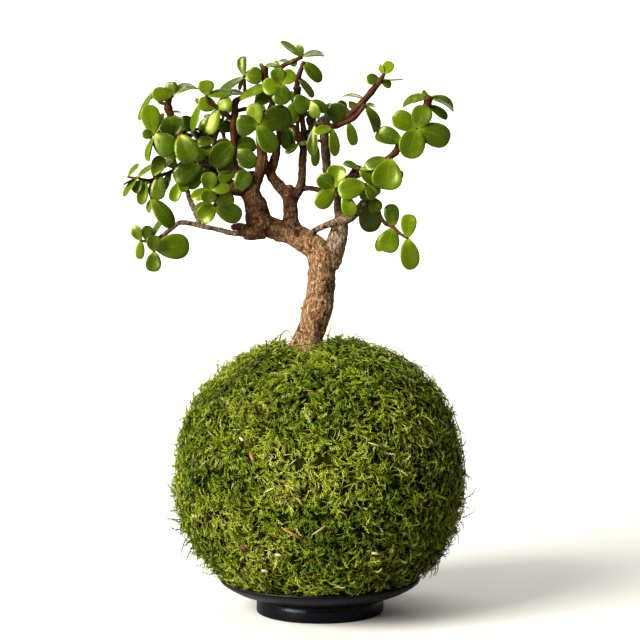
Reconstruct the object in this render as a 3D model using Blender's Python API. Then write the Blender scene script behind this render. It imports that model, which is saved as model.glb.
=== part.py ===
"""Kokedama: a dwarf jade tree growing out of a moss-wrapped ball of soil, on a black footed dish.

Every length below is in millimetres and is turned into metres when a mesh is made. +Z is up, the
viewer's side is -Y, and the origin is the middle of the flat underside of the dish.

The plant is laid out on a drawing seen from the front. A spot on that drawing is (x, z), and a
depth pushes it back from the plane of the trunk, away from a sight point in front of the plant,
so a spot keeps its place on the drawing whatever its depth is.
"""

import math
from collections import namedtuple

import bmesh
import bpy
import numpy as np

MM = 0.001
GAP = 0.3  # clearance between neighbouring solids

# Dish, a turned plate on a solid foot
FOOT_RADIUS = 38.0
FOOT_HEIGHT = 9.2
RIM_RADIUS = 60.0
RIM_HEIGHT = 20.2
WELL_HEIGHT = 11.8
DISH_SIDES = 36

# Ball of soil and its moss
BALL_RADIUS = 85.0
BALL_WAIST = 80.0  # height of the widest ring
BALL_RISE = 82.0  # from the waist to the top
BALL_DROP = 73.0  # from the waist to where the bottom would close
BALL_SQUARENESS = 2.3  # 2 is an ellipse, more is boxier
BALL_FLAT = 13.6  # height of the flat spot the ball rests on
MOSS_THICKNESS = 8.0
BALL_RINGS = 10
BALL_SIDES = 28

# Binding thread
THREAD_RADIUS = 0.22
THREAD_LIFT = 0.7  # from the ball's surface to the middle of the thread
THREAD_LEVEL = 12.4  # of the lengths under the ball
THREAD_OFFSET = 27.0  # from the middle of the ball to the plane of a turn, which clears the trunk
THREAD_TURNS = 3
THREAD_STEPS = 40
THREAD_SIDES = 4

# The point the front drawing is seen from
SIGHT_DISTANCE = 821.0
SIGHT_HEIGHT = 174.0

WOOD_SIDES = 8
TWIG_SIDES = 6
THICK_WOOD = 2.9  # a limb whose base is thicker than this has WOOD_SIDES sides
STEM_SIDES = 5
LEAF_STATIONS = (0.0, 0.3, 0.62, 0.9)
LEAF_SIDES = 4
LEAF_THICKNESS = 0.15  # of the width
LEAF_NECK = 0.16  # half width at the base, of the widest half width

# A limb or a stem is a list of (x, z, depth, radius).
TRUNK = [
    (-6.5, 122, 0, 5.0), (-7.8, 140, 0, 9.0), (-8.2, 154, 0, 10.2), (-6.8, 163, 0, 9.2),
    (-4.0, 172, 0, 8.6), (-1.6, 181, 0, 9.1), (0.3, 190, 0, 8.4), (0.9, 201, 0, 8.2),
    (1.0, 210, 0, 9.0), (-3.5, 217.5, 0, 7.6), (-12, 223.3, 0, 7.2), (-21, 226.6, 0, 6.6),
    (-29, 229.2, -1, 6.4), (-36, 232.6, -2, 8.0), (-38, 240.4, -3, 7.3), (-40.6, 248.5, -3, 5.9),
    (-39.5, 255, -3, 4.1), (-36.6, 261, -3, 3.5), (-34.4, 269, -3, 3.5), (-35.6, 279, -3, 2.9),
    (-37.3, 288, -4, 1.6),
]
LIMBS = {
    "left_stub": [(-34, 228.5, -2, 6.0), (-40, 227.2, -3, 5.7), (-45.4, 226.6, -4, 4.6)],
    "middle_limb": [
        (-15.5, 225, 0, 6.2), (-17.6, 234, 1, 4.7), (-17.8, 242, 2, 4.4), (-19.3, 249, 3, 4.4),
        (-24, 254, 3, 3.5), (-29.4, 261.5, 2, 3.2), (-27.8, 268.5, 2, 3.0), (-25.9, 276, 2, 2.3),
        (-24.8, 286, 2, 1.4),
    ],
    "middle_stub": [(-17.8, 246, 2, 3.5), (-18.4, 254.6, 2, 2.4)],
    "middle_branch": [
        (-16.5, 246, 3, 3.6), (-11.8, 254, 3, 2.8), (-10.7, 262, 3, 2.5), (-10.4, 271, 4, 2.6),
        (-9.7, 280, 4, 2.2), (-9.8, 288, 4, 1.9),
    ],
    "middle_twig": [(-11.5, 252.5, 3, 1.9), (-6, 253, 3, 1.7), (2, 251.2, 3, 1.5)],
    "right_limb": [
        (4.5, 207, 0, 7.2), (8.6, 216, 0, 6.2), (10.6, 224, 0, 5.9), (12.3, 232, 0, 4.6),
        (11.4, 239, 1, 2.6), (10.3, 246, 1, 2.0), (8.4, 253.5, 2, 2.3), (4.6, 263, 3, 2.6),
        (3.7, 271, 4, 2.9), (3.0, 280, 4, 2.7), (2.3, 287, 4, 3.0), (2.0, 292.5, 4, 4.2),
        (2.4, 295.5, 4, 2.6),
    ],
    "cross_branch": [
        (-8, 224.6, -3, 2.0), (0, 229.3, -4, 2.0), (8, 232.2, -4.5, 2.4), (16, 234.6, -4, 3.1),
        (21, 237.6, -4, 2.8), (26.3, 244.6, -4, 2.5),
    ],
    "right_arm": [
        (8.8, 252, 2, 1.8), (14, 257.8, 1, 1.9), (20, 259.6, 0, 1.9), (27, 263, 0, 1.7),
        (34, 267.4, 1, 1.7), (40, 270.4, 1, 1.7),
    ],
    "long_twig": [
        (-42, 225.6, -3, 1.9), (-52, 226, -3, 1.8), (-61, 228.2, -3, 1.7), (-72, 230.6, -3, 1.6),
        (-83, 232.6, -3, 1.7), (-88, 229.6, -2, 1.4), (-95, 224, -2, 1.5),
    ],
    "grey_twig": [
        (-72, 230.6, -2, 1.4), (-74.4, 238, -1, 1.8), (-77.4, 244.6, 0, 1.7), (-79.6, 251.4, 0, 1.5),
        (-81.6, 255.2, 0, 1.3),
    ],
    "dark_stub": [(-43, 228, 0, 2.2), (-48, 230, 1, 2.4), (-53, 229.6, 2, 1.7)],
    "left_arm": [
        (-41, 247, 0, 4.4), (-48.5, 252.5, 2, 2.8), (-57, 258.5, 6, 2.3), (-67, 265.5, 9, 2.1),
        (-76, 273, 10, 2.0), (-84, 283, 8, 1.8),
    ],
    "rear_left_arm": [(-42, 249, 2, 3.0), (-46, 256, 14, 2.4), (-52, 268, 27, 2.0), (-57, 280, 33, 1.6)],
    "rear_middle_arm": [
        (-18, 244, 4, 2.6), (-25, 254.5, 13, 2.3), (-33, 266, 22.5, 2.0), (-35.5, 283, 30, 1.6),
    ],
    "rear_right_arm": [(11.5, 234, 2, 2.8), (10.6, 246, 12, 2.2), (16, 257, 24, 2.0), (22, 266, 32, 1.6)],
    "knob": [(8, 209.5, -1, 3.2), (12.6, 209.6, -2, 2.2)],
    "side_nub": [(-7, 180.6, -1, 1.6), (-11.6, 181.2, -2, 0.8)],
    "root_left": [(-8, 142, 0, 5.0), (-22, 130, -6, 3.2), (-38, 116, -12, 1.6)],
    "root_right": [(-6, 140, 0, 5.0), (10, 127, -8, 3.0), (25, 108, -14, 1.5)],
    "root_back": [(-7, 139, 2, 5.0), (-2, 124, 20, 3.0), (6, 104, 34, 1.4)],
    "root_rear_left": [(-8, 137, 2, 4.6), (-20, 120, 16, 2.6), (-30, 98, 26, 1.3)],
    "root_down": [(-6.5, 126, 0, 4.8), (-4, 108, -3, 3.0), (-8, 88, -6, 1.2)],
}

# at: the stem point it grows from, 10 and up on the first twig, 20 and up on the second;
# aim: degrees on the drawing, 0 to the right and 90 up; toward: degrees it leans to the viewer;
# turn: degrees its face turns from the viewer about its own length; bend: degrees its tip droops.
Leaf = namedtuple("Leaf", "at aim toward length width turn bend", defaults=(0, 12))
# seat: the radius of the wood that the first stem starts on; stems: a main stem, then its twigs
Shoot = namedtuple("Shoot", "seat stems leaves")

SHOOTS = {
    "shoot_top_left": Shoot(0.4, [
        [(-84, 283, 8, 1.6), (-87.6, 292, 5, 2.2), (-91, 301, 2, 2.5), (-90.6, 306, 0, 1.9),
         (-88.3, 309, -2, 1.1)],
        [(-91, 303.4, 1, 1.2), (-96, 304.8, 2, 1.1), (-99.8, 311.4, 3, 0.9)],
    ], [
        Leaf(4, 180, 22, 12.5, 9), Leaf(4, 160, -14, 17, 10, -36, 60), Leaf(12, 239, 2, 20, 9.6, -58),
        Leaf(4, 100, 10, 8, 8, 15), Leaf(4, 43, 0, 18.4, 10.5, 40, 72), Leaf(1.7, 8, -20, 7.5, 4.5, 65),
        Leaf(1.5, 280, 38, 17.5, 15.5),
    ]),
    "shoot_far_left": Shoot(2.7, [
        [(-79.5, 277.4, 9.3, 1.3), (-84, 279, 2, 1.2), (-92, 280, -6, 1.1), (-97.5, 283, -12, 1.0),
         (-100, 285.3, -15, 1.0)],
    ], [
        Leaf(4, 97, 12, 17.5, 11.5, -8), Leaf(3.8, 76, -16, 15.5, 9, 35), Leaf(4, 183, 28, 6.8, 6),
        Leaf(4, -42, 12, 17, 13.8), Leaf(3.7, 252, 2, 15.8, 9, -66),
    ]),
    "shoot_left_front": Shoot(2.1, [
        [(-74, 271.4, 9.8, 1.3), (-77, 276, 0, 1.2), (-79.5, 282, -12, 1.1), (-84, 285, -21, 0.9)],
    ], [
        Leaf(3, -66, 8, 18, 13.4), Leaf(1.4, -50, 16, 12, 9, 22),
    ]),
    "shoot_left_low": Shoot(2, [
        [(-76, 273, 10, 1.4), (-83, 268, 5, 1.3), (-90, 262.5, -1, 1.2), (-100, 260.2, -7, 1.0)],
    ], [
        Leaf(3, 66, 10, 13, 8.6, -12), Leaf(3, 48, -12, 16, 9.5, 58), Leaf(2.6, 263, 8, 15, 9.5, -8),
        Leaf(1.9, 243, 0, 13.5, 9, -48), Leaf(1, 222, 8, 7, 5, -35), Leaf(1.5, 128, 6, 10, 8, 20),
    ]),
    "shoot_left_tip": Shoot(1.4, [
        [(-93, 261.8, 1.8, 1.1), (-100.3, 258, 4, 1.2), (-105, 258, 0, 1.0), (-109.7, 259.3, -3, 0.8)],
        [(-100.5, 258, 4, 1.1), (-102, 252, 1, 1.1), (-101, 246.6, -2, 1.0)],
        [(-109.7, 259.3, -3, 0.8), (-113, 259.4, 0, 0.8), (-115.2, 259.8, 2, 0.7)],
    ], [
        Leaf(3, 44, 0, 13, 8, 60), Leaf(22, 58, -4, 10.5, 6.5, 50), Leaf(3, 203, 2, 9.6, 6, -82),
        Leaf(3, 231, 8, 14, 8, -50), Leaf(2.4, 243, 16, 9.5, 6, -15), Leaf(1, 203, 6, 7.5, 5, -50),
        Leaf(2, 263, 14, 15.5, 7, 8), Leaf(12, -44, 24, 22, 12, 32, 40), Leaf(12, 250, -16, 9, 5.5, -40),
    ]),
    "shoot_twig_end": Shoot(0.4, [
        [(-95, 224, -2, 1.4), (-99.5, 221.6, -4, 1.2), (-104, 221.2, -5, 1.0), (-107.6, 221.6, -6, 0.8)],
        [(-99.5, 221.6, -4, 1.0), (-99.5, 214.9, -10, 0.9)],
    ], [
        Leaf(1.6, 68, -16, 17, 8, 50), Leaf(2, 84, 18, 9.6, 7), Leaf(3, 113, 8, 9.8, 7.2, 10),
        Leaf(3, 267, 5, 11.2, 5.8), Leaf(11, 89, 22, 10.2, 8.8), Leaf(11, 269, 10, 12, 9.6),
        Leaf(10.6, 3, -4, 21, 15.6),
    ]),
    "shoot_grey_twig": Shoot(0.7, [
        [(-81.6, 255.2, 0, 1.2), (-84, 257.2, -3, 1.0)],
    ], [
        Leaf(1, 251, 10, 13, 7.5), Leaf(1, 300, 24, 8, 6.5, 20), Leaf(1, 115, -10, 5.5, 5, 30),
    ]),
    "shoot_left_middle": Shoot(2.1, [
        [(-66, 264.9, 8.7, 1.3), (-68.5, 266, 0, 1.2), (-71.5, 266.6, -6, 1.0)],
    ], [
        Leaf(2, 207, 6, 18, 12.6), Leaf(1.6, 242, 6, 16, 8, 20),
    ]),
    "shoot_left_inner": Shoot(2.8, [
        [(-61, 261.2, 7.2, 1.4), (-61.5, 271, 3, 1.3), (-63.5, 279, 3, 1.2), (-61, 288, 2, 1.0)],
    ], [
        Leaf(2.3, 188, 8, 11, 7, -25), Leaf(2, 10, 0, 10, 8, 20), Leaf(3, 160, -10, 13, 9, -20),
        Leaf(3, 20, -15, 10, 8, 10), Leaf(1.4, 168, 0, 9, 8, -20),
    ]),
    "shoot_left_centre": Shoot(5.8, [
        [(-42, 248.5, -3, 2.0), (-50, 250.6, -8, 2.0), (-56.5, 249.6, -11, 1.9), (-61, 247, -14, 1.8),
         (-63, 242.4, -16, 1.3)],
        [(-60.5, 247.6, -13.5, 1.2), (-65.8, 252.2, -21, 0.9)],
    ], [
        Leaf(0.9, 68, 5, 13.8, 11.4), Leaf(11, 95, 24, 10.6, 9.6), Leaf(11, 4, 10, 12, 6.8),
        Leaf(11, 208, 10, 12.2, 7.4, -5), Leaf(11, 262, 38, 10, 9.4), Leaf(4, 178, -10, 12.6, 7, -45),
        Leaf(4, 225, 10, 12.6, 10.8), Leaf(4, 26, 12, 12.4, 8.6, -10), Leaf(4, -24, 2, 17, 12),
    ]),
    "shoot_upper_left": Shoot(5.2, [
        [(-47.6, 252, 1.6, 2.0), (-50, 262, 2, 1.6), (-50.6, 271, 2, 1.5), (-51.6, 281, 1, 2.0),
         (-52, 290, 0, 2.3), (-51, 298, 0, 2.1), (-50.5, 305, -1, 2.0), (-45.4, 309.4, 3.5, 1.2),
         (-45.5, 320.4, -1, 1.0)],
        [(-51, 299, 0, 1.4), (-45.5, 300.5, 2, 1.3), (-41.5, 300.5, 3, 1.1)],
    ], [
        Leaf(3, 229, 14, 19.8, 13.6), Leaf(2.5, -37, 10, 16, 11), Leaf(1.4, 186, 12, 12, 7.6),
        Leaf(1.1, 206, 12, 12, 7.5, 10), Leaf(2.8, 4, -16, 14, 11, 12), Leaf(7.95, 209, -2, 19, 9, -46),
        Leaf(7.9, 239, -16, 8, 5, -50), Leaf(8, 97, 2, 12, 7.2, 28), Leaf(7.96, 3, 6, 10.8, 10.8),
        Leaf(6.2, 25, 8, 19.6, 9.5, 44, 5), Leaf(7, 166, -14, 13, 6.5, -45), Leaf(12, 10, 0, 7, 6, 20),
    ]),
    "shoot_upper_left_fork": Shoot(2.4, [
        [(-52, 293.5, 0, 1.5), (-57, 298, -3, 1.5), (-62, 301.8, -6, 1.4), (-66.5, 304.5, -8, 1.2),
         (-68, 308.6, -9, 1.0)],
        [(-66.5, 304.6, -8, 1.0), (-71.4, 304.6, -5, 0.9)],
    ], [
        Leaf(2, 166, 18, 11.4, 9.4), Leaf(2, 17, 24, 10.2, 9.2), Leaf(1.8, 249, 6, 16.5, 9, -12),
        Leaf(11, 249, 2, 18.2, 8.6, -48), Leaf(11, 160, -20, 4.5, 4, 30), Leaf(4, 93, 8, 9.2, 10),
        Leaf(4, 10, -6, 15.4, 8, 30),
    ]),
    "shoot_centre_left": Shoot(1.8, [
        [(-37.3, 288, -4, 1.5), (-37, 291.2, -13, 1.1)],
    ], [
        Leaf(0.98, 184, 10, 13.2, 13), Leaf(1, -60, 14, 19.4, 12.4, 12), Leaf(0.96, 106, 6, 13.2, 10.4, 15),
        Leaf(1, 19, -4, 20.8, 14.8),
    ]),
    "shoot_top_centre": Shoot(0.4, [
        [(-24.8, 286, 2, 1.3), (-27, 297, 4, 1.4), (-29, 306, 3, 1.5), (-27.4, 312, -4, 1.1),
         (-23.2, 315.6, -11, 0.9)],
        [(-29, 306, 3, 1.5), (-32, 314, 4, 2.2), (-33, 319, 3, 2.4), (-33.3, 325.4, 2, 2.3)],
    ], [
        Leaf(4, 197, 10, 11.6, 10.6), Leaf(4, 113, 14, 9.8, 9), Leaf(4, 42, 12, 10.4, 9),
        Leaf(4, 271, 16, 13.2, 11.8), Leaf(2, 174, -22, 12, 9.5, -10), Leaf(13, 22, -6, 8.5, 6.5, 50, 40),
        Leaf(13, 150, -10, 4, 4, 40),
    ]),
    "shoot_top_tip": Shoot(1.7, [
        [(-27, 297, 4, 1.4), (-27.6, 299.4, 10, 1.4), (-28.5, 313, 11, 1.5),
         (-26.5, 321, 10, 1.4), (-22.5, 326.2, 7, 1.4),
         (-16, 329.3, 4, 1.4), (-10.8, 331.8, 2, 1.2)],
    ], [
        Leaf(6, 149, 0, 16, 8.4, -52, -12), Leaf(6, 108, 14, 7.6, 6, 34), Leaf(6, 24, 0, 14.6, 8.5, 50, 44),
        Leaf(4.7, 163, -20, 8, 5, -55), Leaf(3.6, 122, -6, 6, 5, 20), Leaf(5.4, 226, -20, 5.5, 4.5, 30),
    ]),
    "shoot_upper_centre": Shoot(0.3, [
        [(-9.8, 288, 4, 1.8), (-11.2, 298, 3, 1.7), (-13.3, 307, 0, 2.0), (-13.6, 313.4, -2, 2.6)],
        [(-14.2, 312, -1, 1.9), (-13, 319.5, -2, 1.8), (-10.6, 326.4, -3, 1.5), (-9.8, 328.8, -3, 1.1)],
        [(-13, 305, 0, 1.3), (-9.4, 305, -6, 1.1), (-6, 305.4, -11, 0.9)],
    ], [
        Leaf(13, -47, 8, 15.8, 8.8, 15, 20), Leaf(13, -37, -14, 15.2, 7, 35),
        Leaf(11, -50, 4, 15, 8, 50), Leaf(22, 200, 8, 10.2, 12), Leaf(22, -66, 10, 11.4, 7.5, -20),
        Leaf(22, -28, -8, 12, 7.5, 15), Leaf(21.6, 6, -22, 8.5, 5, 80), Leaf(1.85, 243, 8, 16.5, 9.6, -15),
        Leaf(1.9, 148, -12, 10.5, 7.5, -20),
    ]),
    "shoot_hanging": Shoot(4.2, [
        [(2, 291.5, 4, 1.5), (1.8, 290.8, -3, 1.5), (2, 290.4, -6.5, 1.4)],
        [(1.8, 290.6, -4, 1.2), (-3, 290.6, -7, 1.0)],
        [(2, 290.4, -5, 1.2), (7.4, 289.2, -8, 1.0)],
    ], [
        Leaf(11, 265, 2, 18.4, 7.5, -30), Leaf(21, 195, 14, 11.5, 6, -20), Leaf(21, -83, 4, 17, 7.2, 18),
    ]),
    "shoot_hanging_behind": Shoot(3.0, [
        [(3, 281, 4, 1.0), (-0.8, 281.5, 2.5, 0.9), (-2.6, 280.6, 2, 0.8)],
    ], [
        Leaf(2, 270, 2, 14.5, 6, 20),
    ]),
    "shoot_dark_inner": Shoot(3.4, [
        [(-9.8, 284, 4, 1.3), (-15, 288.5, 7, 1.2), (-18, 291, 7, 1.1), (-22, 290, 6, 0.9)],
        [(-14.4, 288, 6.5, 1.0), (-14, 283, 4, 0.9), (-12.8, 279.6, -1, 0.8)],
    ], [
        Leaf(3, -79, 5, 14, 7.5, 15), Leaf(1.6, 262, -2, 13, 8, -20), Leaf(12, 211, 0, 9.6, 5.6, -30),
        Leaf(2, 60, -10, 12, 9, 20), Leaf(12, 10, 10, 6, 5, 45),
    ]),
    "shoot_upper_right": Shoot(4.4, [
        [(2.2, 291, 4, 1.9), (10, 290.6, 2, 1.9), (17.8, 296.8, 1, 2.1), (24.8, 303.8, 0, 2.1),
         (30.8, 310.8, 0, 2.1), (36.2, 317.8, -1, 1.8), (38.5, 321.6, -2, 1.0)],
        [(11, 290.8, -1, 1.6), (20, 295, -3, 1.6), (27, 302.8, -4, 1.4)],
    ], [
        Leaf(6, 60, 4, 8.6, 7), Leaf(6, 121, -8, 6.2, 5, 52), Leaf(5, 176, 8, 8.6, 7),
        Leaf(5, -22, -14, 7.8, 6, 20),
        Leaf(5.1, -7, 2, 13.6, 7, 82, -14), Leaf(3.35, 152, -4, 15, 7, -58, 42),
        Leaf(2.8, 166, -28, 8, 5, 25),
        Leaf(12, -54, 5, 18, 9, 30, 48), Leaf(12, 5, -24, 7.5, 5, 45), Leaf(10.65, -75, 2, 15, 6.8, 15),
        Leaf(2.1, 176, 16, 14.6, 12),
    ]),
    "shoot_right_rosette": Shoot(0.4, [
        [(40, 270.4, 1, 1.7), (45.3, 274.6, 0, 2.2), (47.6, 279.6, -3, 1.8), (53, 285, -9, 1.3),
         (58.3, 288.8, -15, 1.1)],
    ], [
        Leaf(4, 152, 6, 16.4, 12), Leaf(4, 71, 20, 14.2, 12.5), Leaf(4, -19, 5, 20.4, 14.4),
        Leaf(4, 251, 14, 19, 15.6), Leaf(2.3, 161, -6, 16.5, 11.8, -10), Leaf(3.8, -66, -20, 12.5, 8, 15),
    ]),
    "shoot_right_stub": Shoot(1.3, [
        [(54, 286, -10, 1.3), (57.5, 292, -4, 1.4), (61.5, 298, -4, 1.6), (64, 302, -6, 2.5),
         (65.2, 307.6, -8, 2.9)],
    ], [
        Leaf(4, 178, 2, 17.4, 9, -38, 56), Leaf(4, -6, 5, 19, 9.5, 40, 62),
        Leaf(3.2, -27, -12, 15.2, 7.5, 28),
        Leaf(4, 135, -6, 5.5, 4, 40), Leaf(4, 10, 0, 5.5, 3, 80),
    ]),
    "shoot_right_drop": Shoot(2.1, [
        [(37, 269, 1, 1.2), (40, 271.2, -6, 1.1), (42.2, 271, -9, 1.0)],
    ], [
        Leaf(2, 261, 6, 19, 18.2), Leaf(1, 203, 8, 14, 9, -28),
    ]),
    "shoot_middle_right": Shoot(2.7, [
        [(9, 252.4, 2, 1.3), (8.6, 253.4, -8, 1.0)],
        [(8.8, 252.8, -4, 0.9), (12, 250.6, -9, 0.9), (14.6, 248.8, -9.5, 0.8)],
    ], [
        Leaf(1, 147, 10, 12, 9.6), Leaf(1, 79, 4, 13.6, 12, 8), Leaf(1, 229, 10, 15.8, 10.8),
        Leaf(0.9, 36, -16, 8, 5, 40), Leaf(12, -69, 8, 13.4, 9.4),
    ]),
    "shoot_arm_front": Shoot(2.1, [
        [(20, 259.6, 0, 1.3), (22.4, 257, -7, 1.1), (27.6, 255, -11, 1.0)],
    ], [
        Leaf(2, 194, 8, 17.2, 12.8), Leaf(1.9, -52, -14, 10.5, 8, 20), Leaf(1.9, -86, -10, 9.6, 8, 10),
    ]),
    "shoot_arm_top": Shoot(2.8, [
        [(21.4, 260.2, 0, 1.1), (23.6, 264.6, -3, 0.9)],
    ], [
        Leaf(1, 156, 4, 10.4, 6.6, -38), Leaf(1, -36, 2, 14.5, 9.4, 10), Leaf(1, 4, 14, 12, 6, 48),
    ]),
    "shoot_lower_right": Shoot(0.4, [
        [(26.3, 244.6, -4, 1.5), (29.5, 248, -1, 1.3), (33, 243.4, 1, 1.2), (36, 236.4, 2, 1.2),
         (39.4, 231.8, 2, 1.2),
         (44, 229.6, 0, 1.1), (48, 225.8, -3, 1.0), (52.5, 223, -5, 0.8)],
    ], [
        Leaf(1.1, 272, -8, 21.6, 13.8), Leaf(1.1, -60, 8, 10.5, 8.5, 10), Leaf(1, 52, -8, 9, 8),
        Leaf(5, 98, 4, 14.2, 9.6, 10), Leaf(5, 253, 8, 15.8, 13), Leaf(5, 233, -14, 18, 8, -15),
        Leaf(7, 86, 4, 14.6, 9.8), Leaf(7, -84, 6, 19, 11.8),
    ]),
}

# Shoots on the far side, with leaves in opposite pairs: seat, stem, leaf length and width
REAR_SHOOTS = {
    "rear_left_high": (
        0.4,
        [(-57, 280, 33, 1.4), (-58, 286, 34, 1.2), (-59, 291, 31, 1.1), (-58, 296, 28, 0.9)],
        12.5, 9,
    ),
    "rear_left_low": (
        2.3,
        [(-52, 268, 27, 1.4), (-59, 266, 32, 1.2), (-66, 267, 36, 1.1), (-72.6, 269.6, 38.4, 1.0)],
        12.8, 9.4,
    ),
    "rear_left_wide": (
        2.8,
        [(-76, 273, 10, 1.4), (-80, 275, 18, 1.2), (-86, 278, 23, 1.1), (-91, 282, 26, 0.9)],
        12.5, 9,
    ),
    "rear_centre_high": (
        0.4,
        [(-35.5, 283, 30, 1.4), (-34.5, 291, 31, 1.2), (-32, 298, 30, 1.1), (-29, 305, 28, 0.9)],
        12.5, 9,
    ),
    "rear_centre_low": (2.4, [(-33, 266, 22.5, 1.4), (-38, 263, 31, 1.2), (-43, 261, 37, 1.0)], 12, 8.5),
    "rear_middle": (
        3.6,
        [(-10.4, 274, 4, 1.3), (-12.4, 283, 17, 1.2), (-13.5, 292, 19, 1.1), (-13, 299, 20, 0.9)],
        10.5, 7.5,
    ),
    "rear_upper_right": (
        4.4,
        [(2.2, 291, 4, 1.4), (4, 292.5, 14, 1.2), (7, 295.5, 20, 1.1), (9, 298, 24, 0.9)],
        9.5, 7,
    ),
    "rear_right_low": (1.9, [(22, 266, 32, 1.3), (27, 264, 37, 1.1), (31, 259, 40, 0.9)], 11, 8),
    "rear_right_middle": (2.2, [(16, 257, 24, 1.3), (11, 257.5, 31, 1.1), (7, 258.5, 35, 0.9)], 10, 7.5),
    "rear_left_inner": (
        3.3, [(-67, 265.5, 9, 1.3), (-67.5, 272, 15.5, 1.2), (-69, 279, 17, 1.1)], 10.5, 8.2,
    ),
    "rear_left_middle": (
        3.4,
        [(-46, 256, 14, 1.3), (-52, 254, 18, 1.2), (-57.5, 254, 21, 1.1), (-62.5, 255, 22.5, 0.9)],
        9.6, 8,
    ),
    "rear_left_top": (
        2.2,
        [(-84, 283, 8, 1.2), (-81.5, 286.8, 14.5, 1.2), (-77.2, 288.4, 19, 1.1), (-72.8, 288.4, 22, 0.9)],
        10.2, 8.5,
    ),
    "rear_left_centre": (
        2.8,
        [(-57, 258.5, 6, 1.3), (-53.5, 266, 10.5, 1.2), (-51, 274, 12, 1.1), (-49.5, 282, 12.5, 0.9)],
        10.5, 8.5,
    ),
    "rear_centre_top": (1.9, [(-35.5, 283, 30, 1.3), (-30.5, 287.5, 25, 1.2), (-28, 293, 22, 1.1)], 8.4, 7),
    "rear_right_far": (1.9, [(34, 267.4, 1, 1.2), (37, 264, 10, 1.1), (40, 261, 15, 0.9)], 10.5, 8),
    "rear_upper_middle": (
        3.0,
        [(-9.8, 284, 4, 1.3), (-7, 287, 9, 1.2), (-5, 289, 11.5, 1.1), (-4.6, 292, 13, 0.9)],
        8.4, 7.2,
    ),
}
PAIR_LIFT = 38.0  # how far a paired leaf leans from square with its stem towards the stem's tip


def place(x, z, depth):
    """World point of the spot (x, z) on the front drawing at the given depth."""
    spread = 1 + depth / SIGHT_DISTANCE
    return np.array((x * spread, depth, SIGHT_HEIGHT + (z - SIGHT_HEIGHT) * spread))


def unit(vector):
    """The vector at length 1."""
    return vector / np.linalg.norm(vector)


def smooth_route(spots, steps):
    """World points and radii along a Catmull-Rom curve through drawing spots."""
    knots = np.array([(*place(x, z, depth), radius) for x, z, depth, radius in spots])
    padded = np.vstack((2 * knots[0] - knots[1], knots, 2 * knots[-1] - knots[-2]))
    rows = []
    for before, start, end, after in zip(padded, padded[1:], padded[2:], padded[3:]):
        for t in np.arange(steps) / steps:
            rows.append(0.5 * (
                2 * start + (end - before) * t
                + (2 * before - 5 * start + 4 * end - after) * t**2
                + (3 * start - before - 3 * end + after) * t**3
            ))
    rows.append(knots[-1])
    rows = np.array(rows)
    return rows[:, :3], rows[:, 3]


def rings_mesh(rings, closed=False):
    """Vertices and faces of a tube through equal rings of points, capped or joined end to end."""
    sides = len(rings[0])
    vertices = np.vstack(rings)
    faces = []
    last = len(rings) if closed else len(rings) - 1
    for row in range(last):
        near = row * sides
        far = (row + 1) % len(rings) * sides
        for side in range(sides):
            after = (side + 1) % sides
            faces.append((near + side, near + after, far + after, far + side))
    if not closed:
        faces.append(tuple(range(sides - 1, -1, -1)))
        faces.append(tuple(range(len(vertices) - sides, len(vertices))))
    return vertices, faces


def tube(points, radii, sides, closed=False):
    """A tube of changing radius along points, its rings turned as little as possible."""
    ahead = np.roll(points, -1, axis=0)
    behind = np.roll(points, 1, axis=0)
    tangents = ahead - behind
    if not closed:
        tangents[0] = points[1] - points[0]
        tangents[-1] = points[-1] - points[-2]
    across = np.cross(tangents[0], (0.31, 0.87, 0.38))
    angles = np.arange(sides) * 2 * math.pi / sides
    rings = []
    for point, tangent, radius in zip(points, tangents, radii):
        along = unit(tangent)
        across = unit(across - along * np.dot(across, along))
        up = np.cross(along, across)
        rings.append(point + radius * (np.outer(np.cos(angles), across) + np.outer(np.sin(angles), up)))
    return rings_mesh(rings, closed)


def lathe(profile, sides):
    """A turned solid; the profile runs from the axis at the bottom, out, up and back to the axis."""
    angles = np.arange(sides) * 2 * math.pi / sides
    ring = np.column_stack((np.cos(angles), np.sin(angles)))
    rows = [np.column_stack((radius * ring, np.full(sides, height))) for radius, height in profile[1:-1]]
    vertices, faces = rings_mesh(rows)
    faces = faces[:-2]
    count = len(vertices)
    vertices = np.vstack((vertices, (0, 0, profile[0][1]), (0, 0, profile[-1][1])))
    for side in range(sides):
        after = (side + 1) % sides
        faces.append((count, after, side))
        faces.append((count + 1, count - sides + side, count - sides + after))
    return vertices, faces


def leaf_frame(leaf):
    """Directions along the leaf, across it and out of its upper face."""
    aim, toward, turn = (math.radians(value) for value in (leaf.aim, leaf.toward, leaf.turn))
    along = np.array((math.cos(toward) * math.cos(aim), -math.sin(toward), math.cos(toward) * math.sin(aim)))
    face = unit(np.array((0.0, -1.0, 0.0)) + along * along[1])
    across = np.cross(face, along)
    face = face * math.cos(turn) + across * math.sin(turn)
    return along, np.cross(face, along), face


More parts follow.
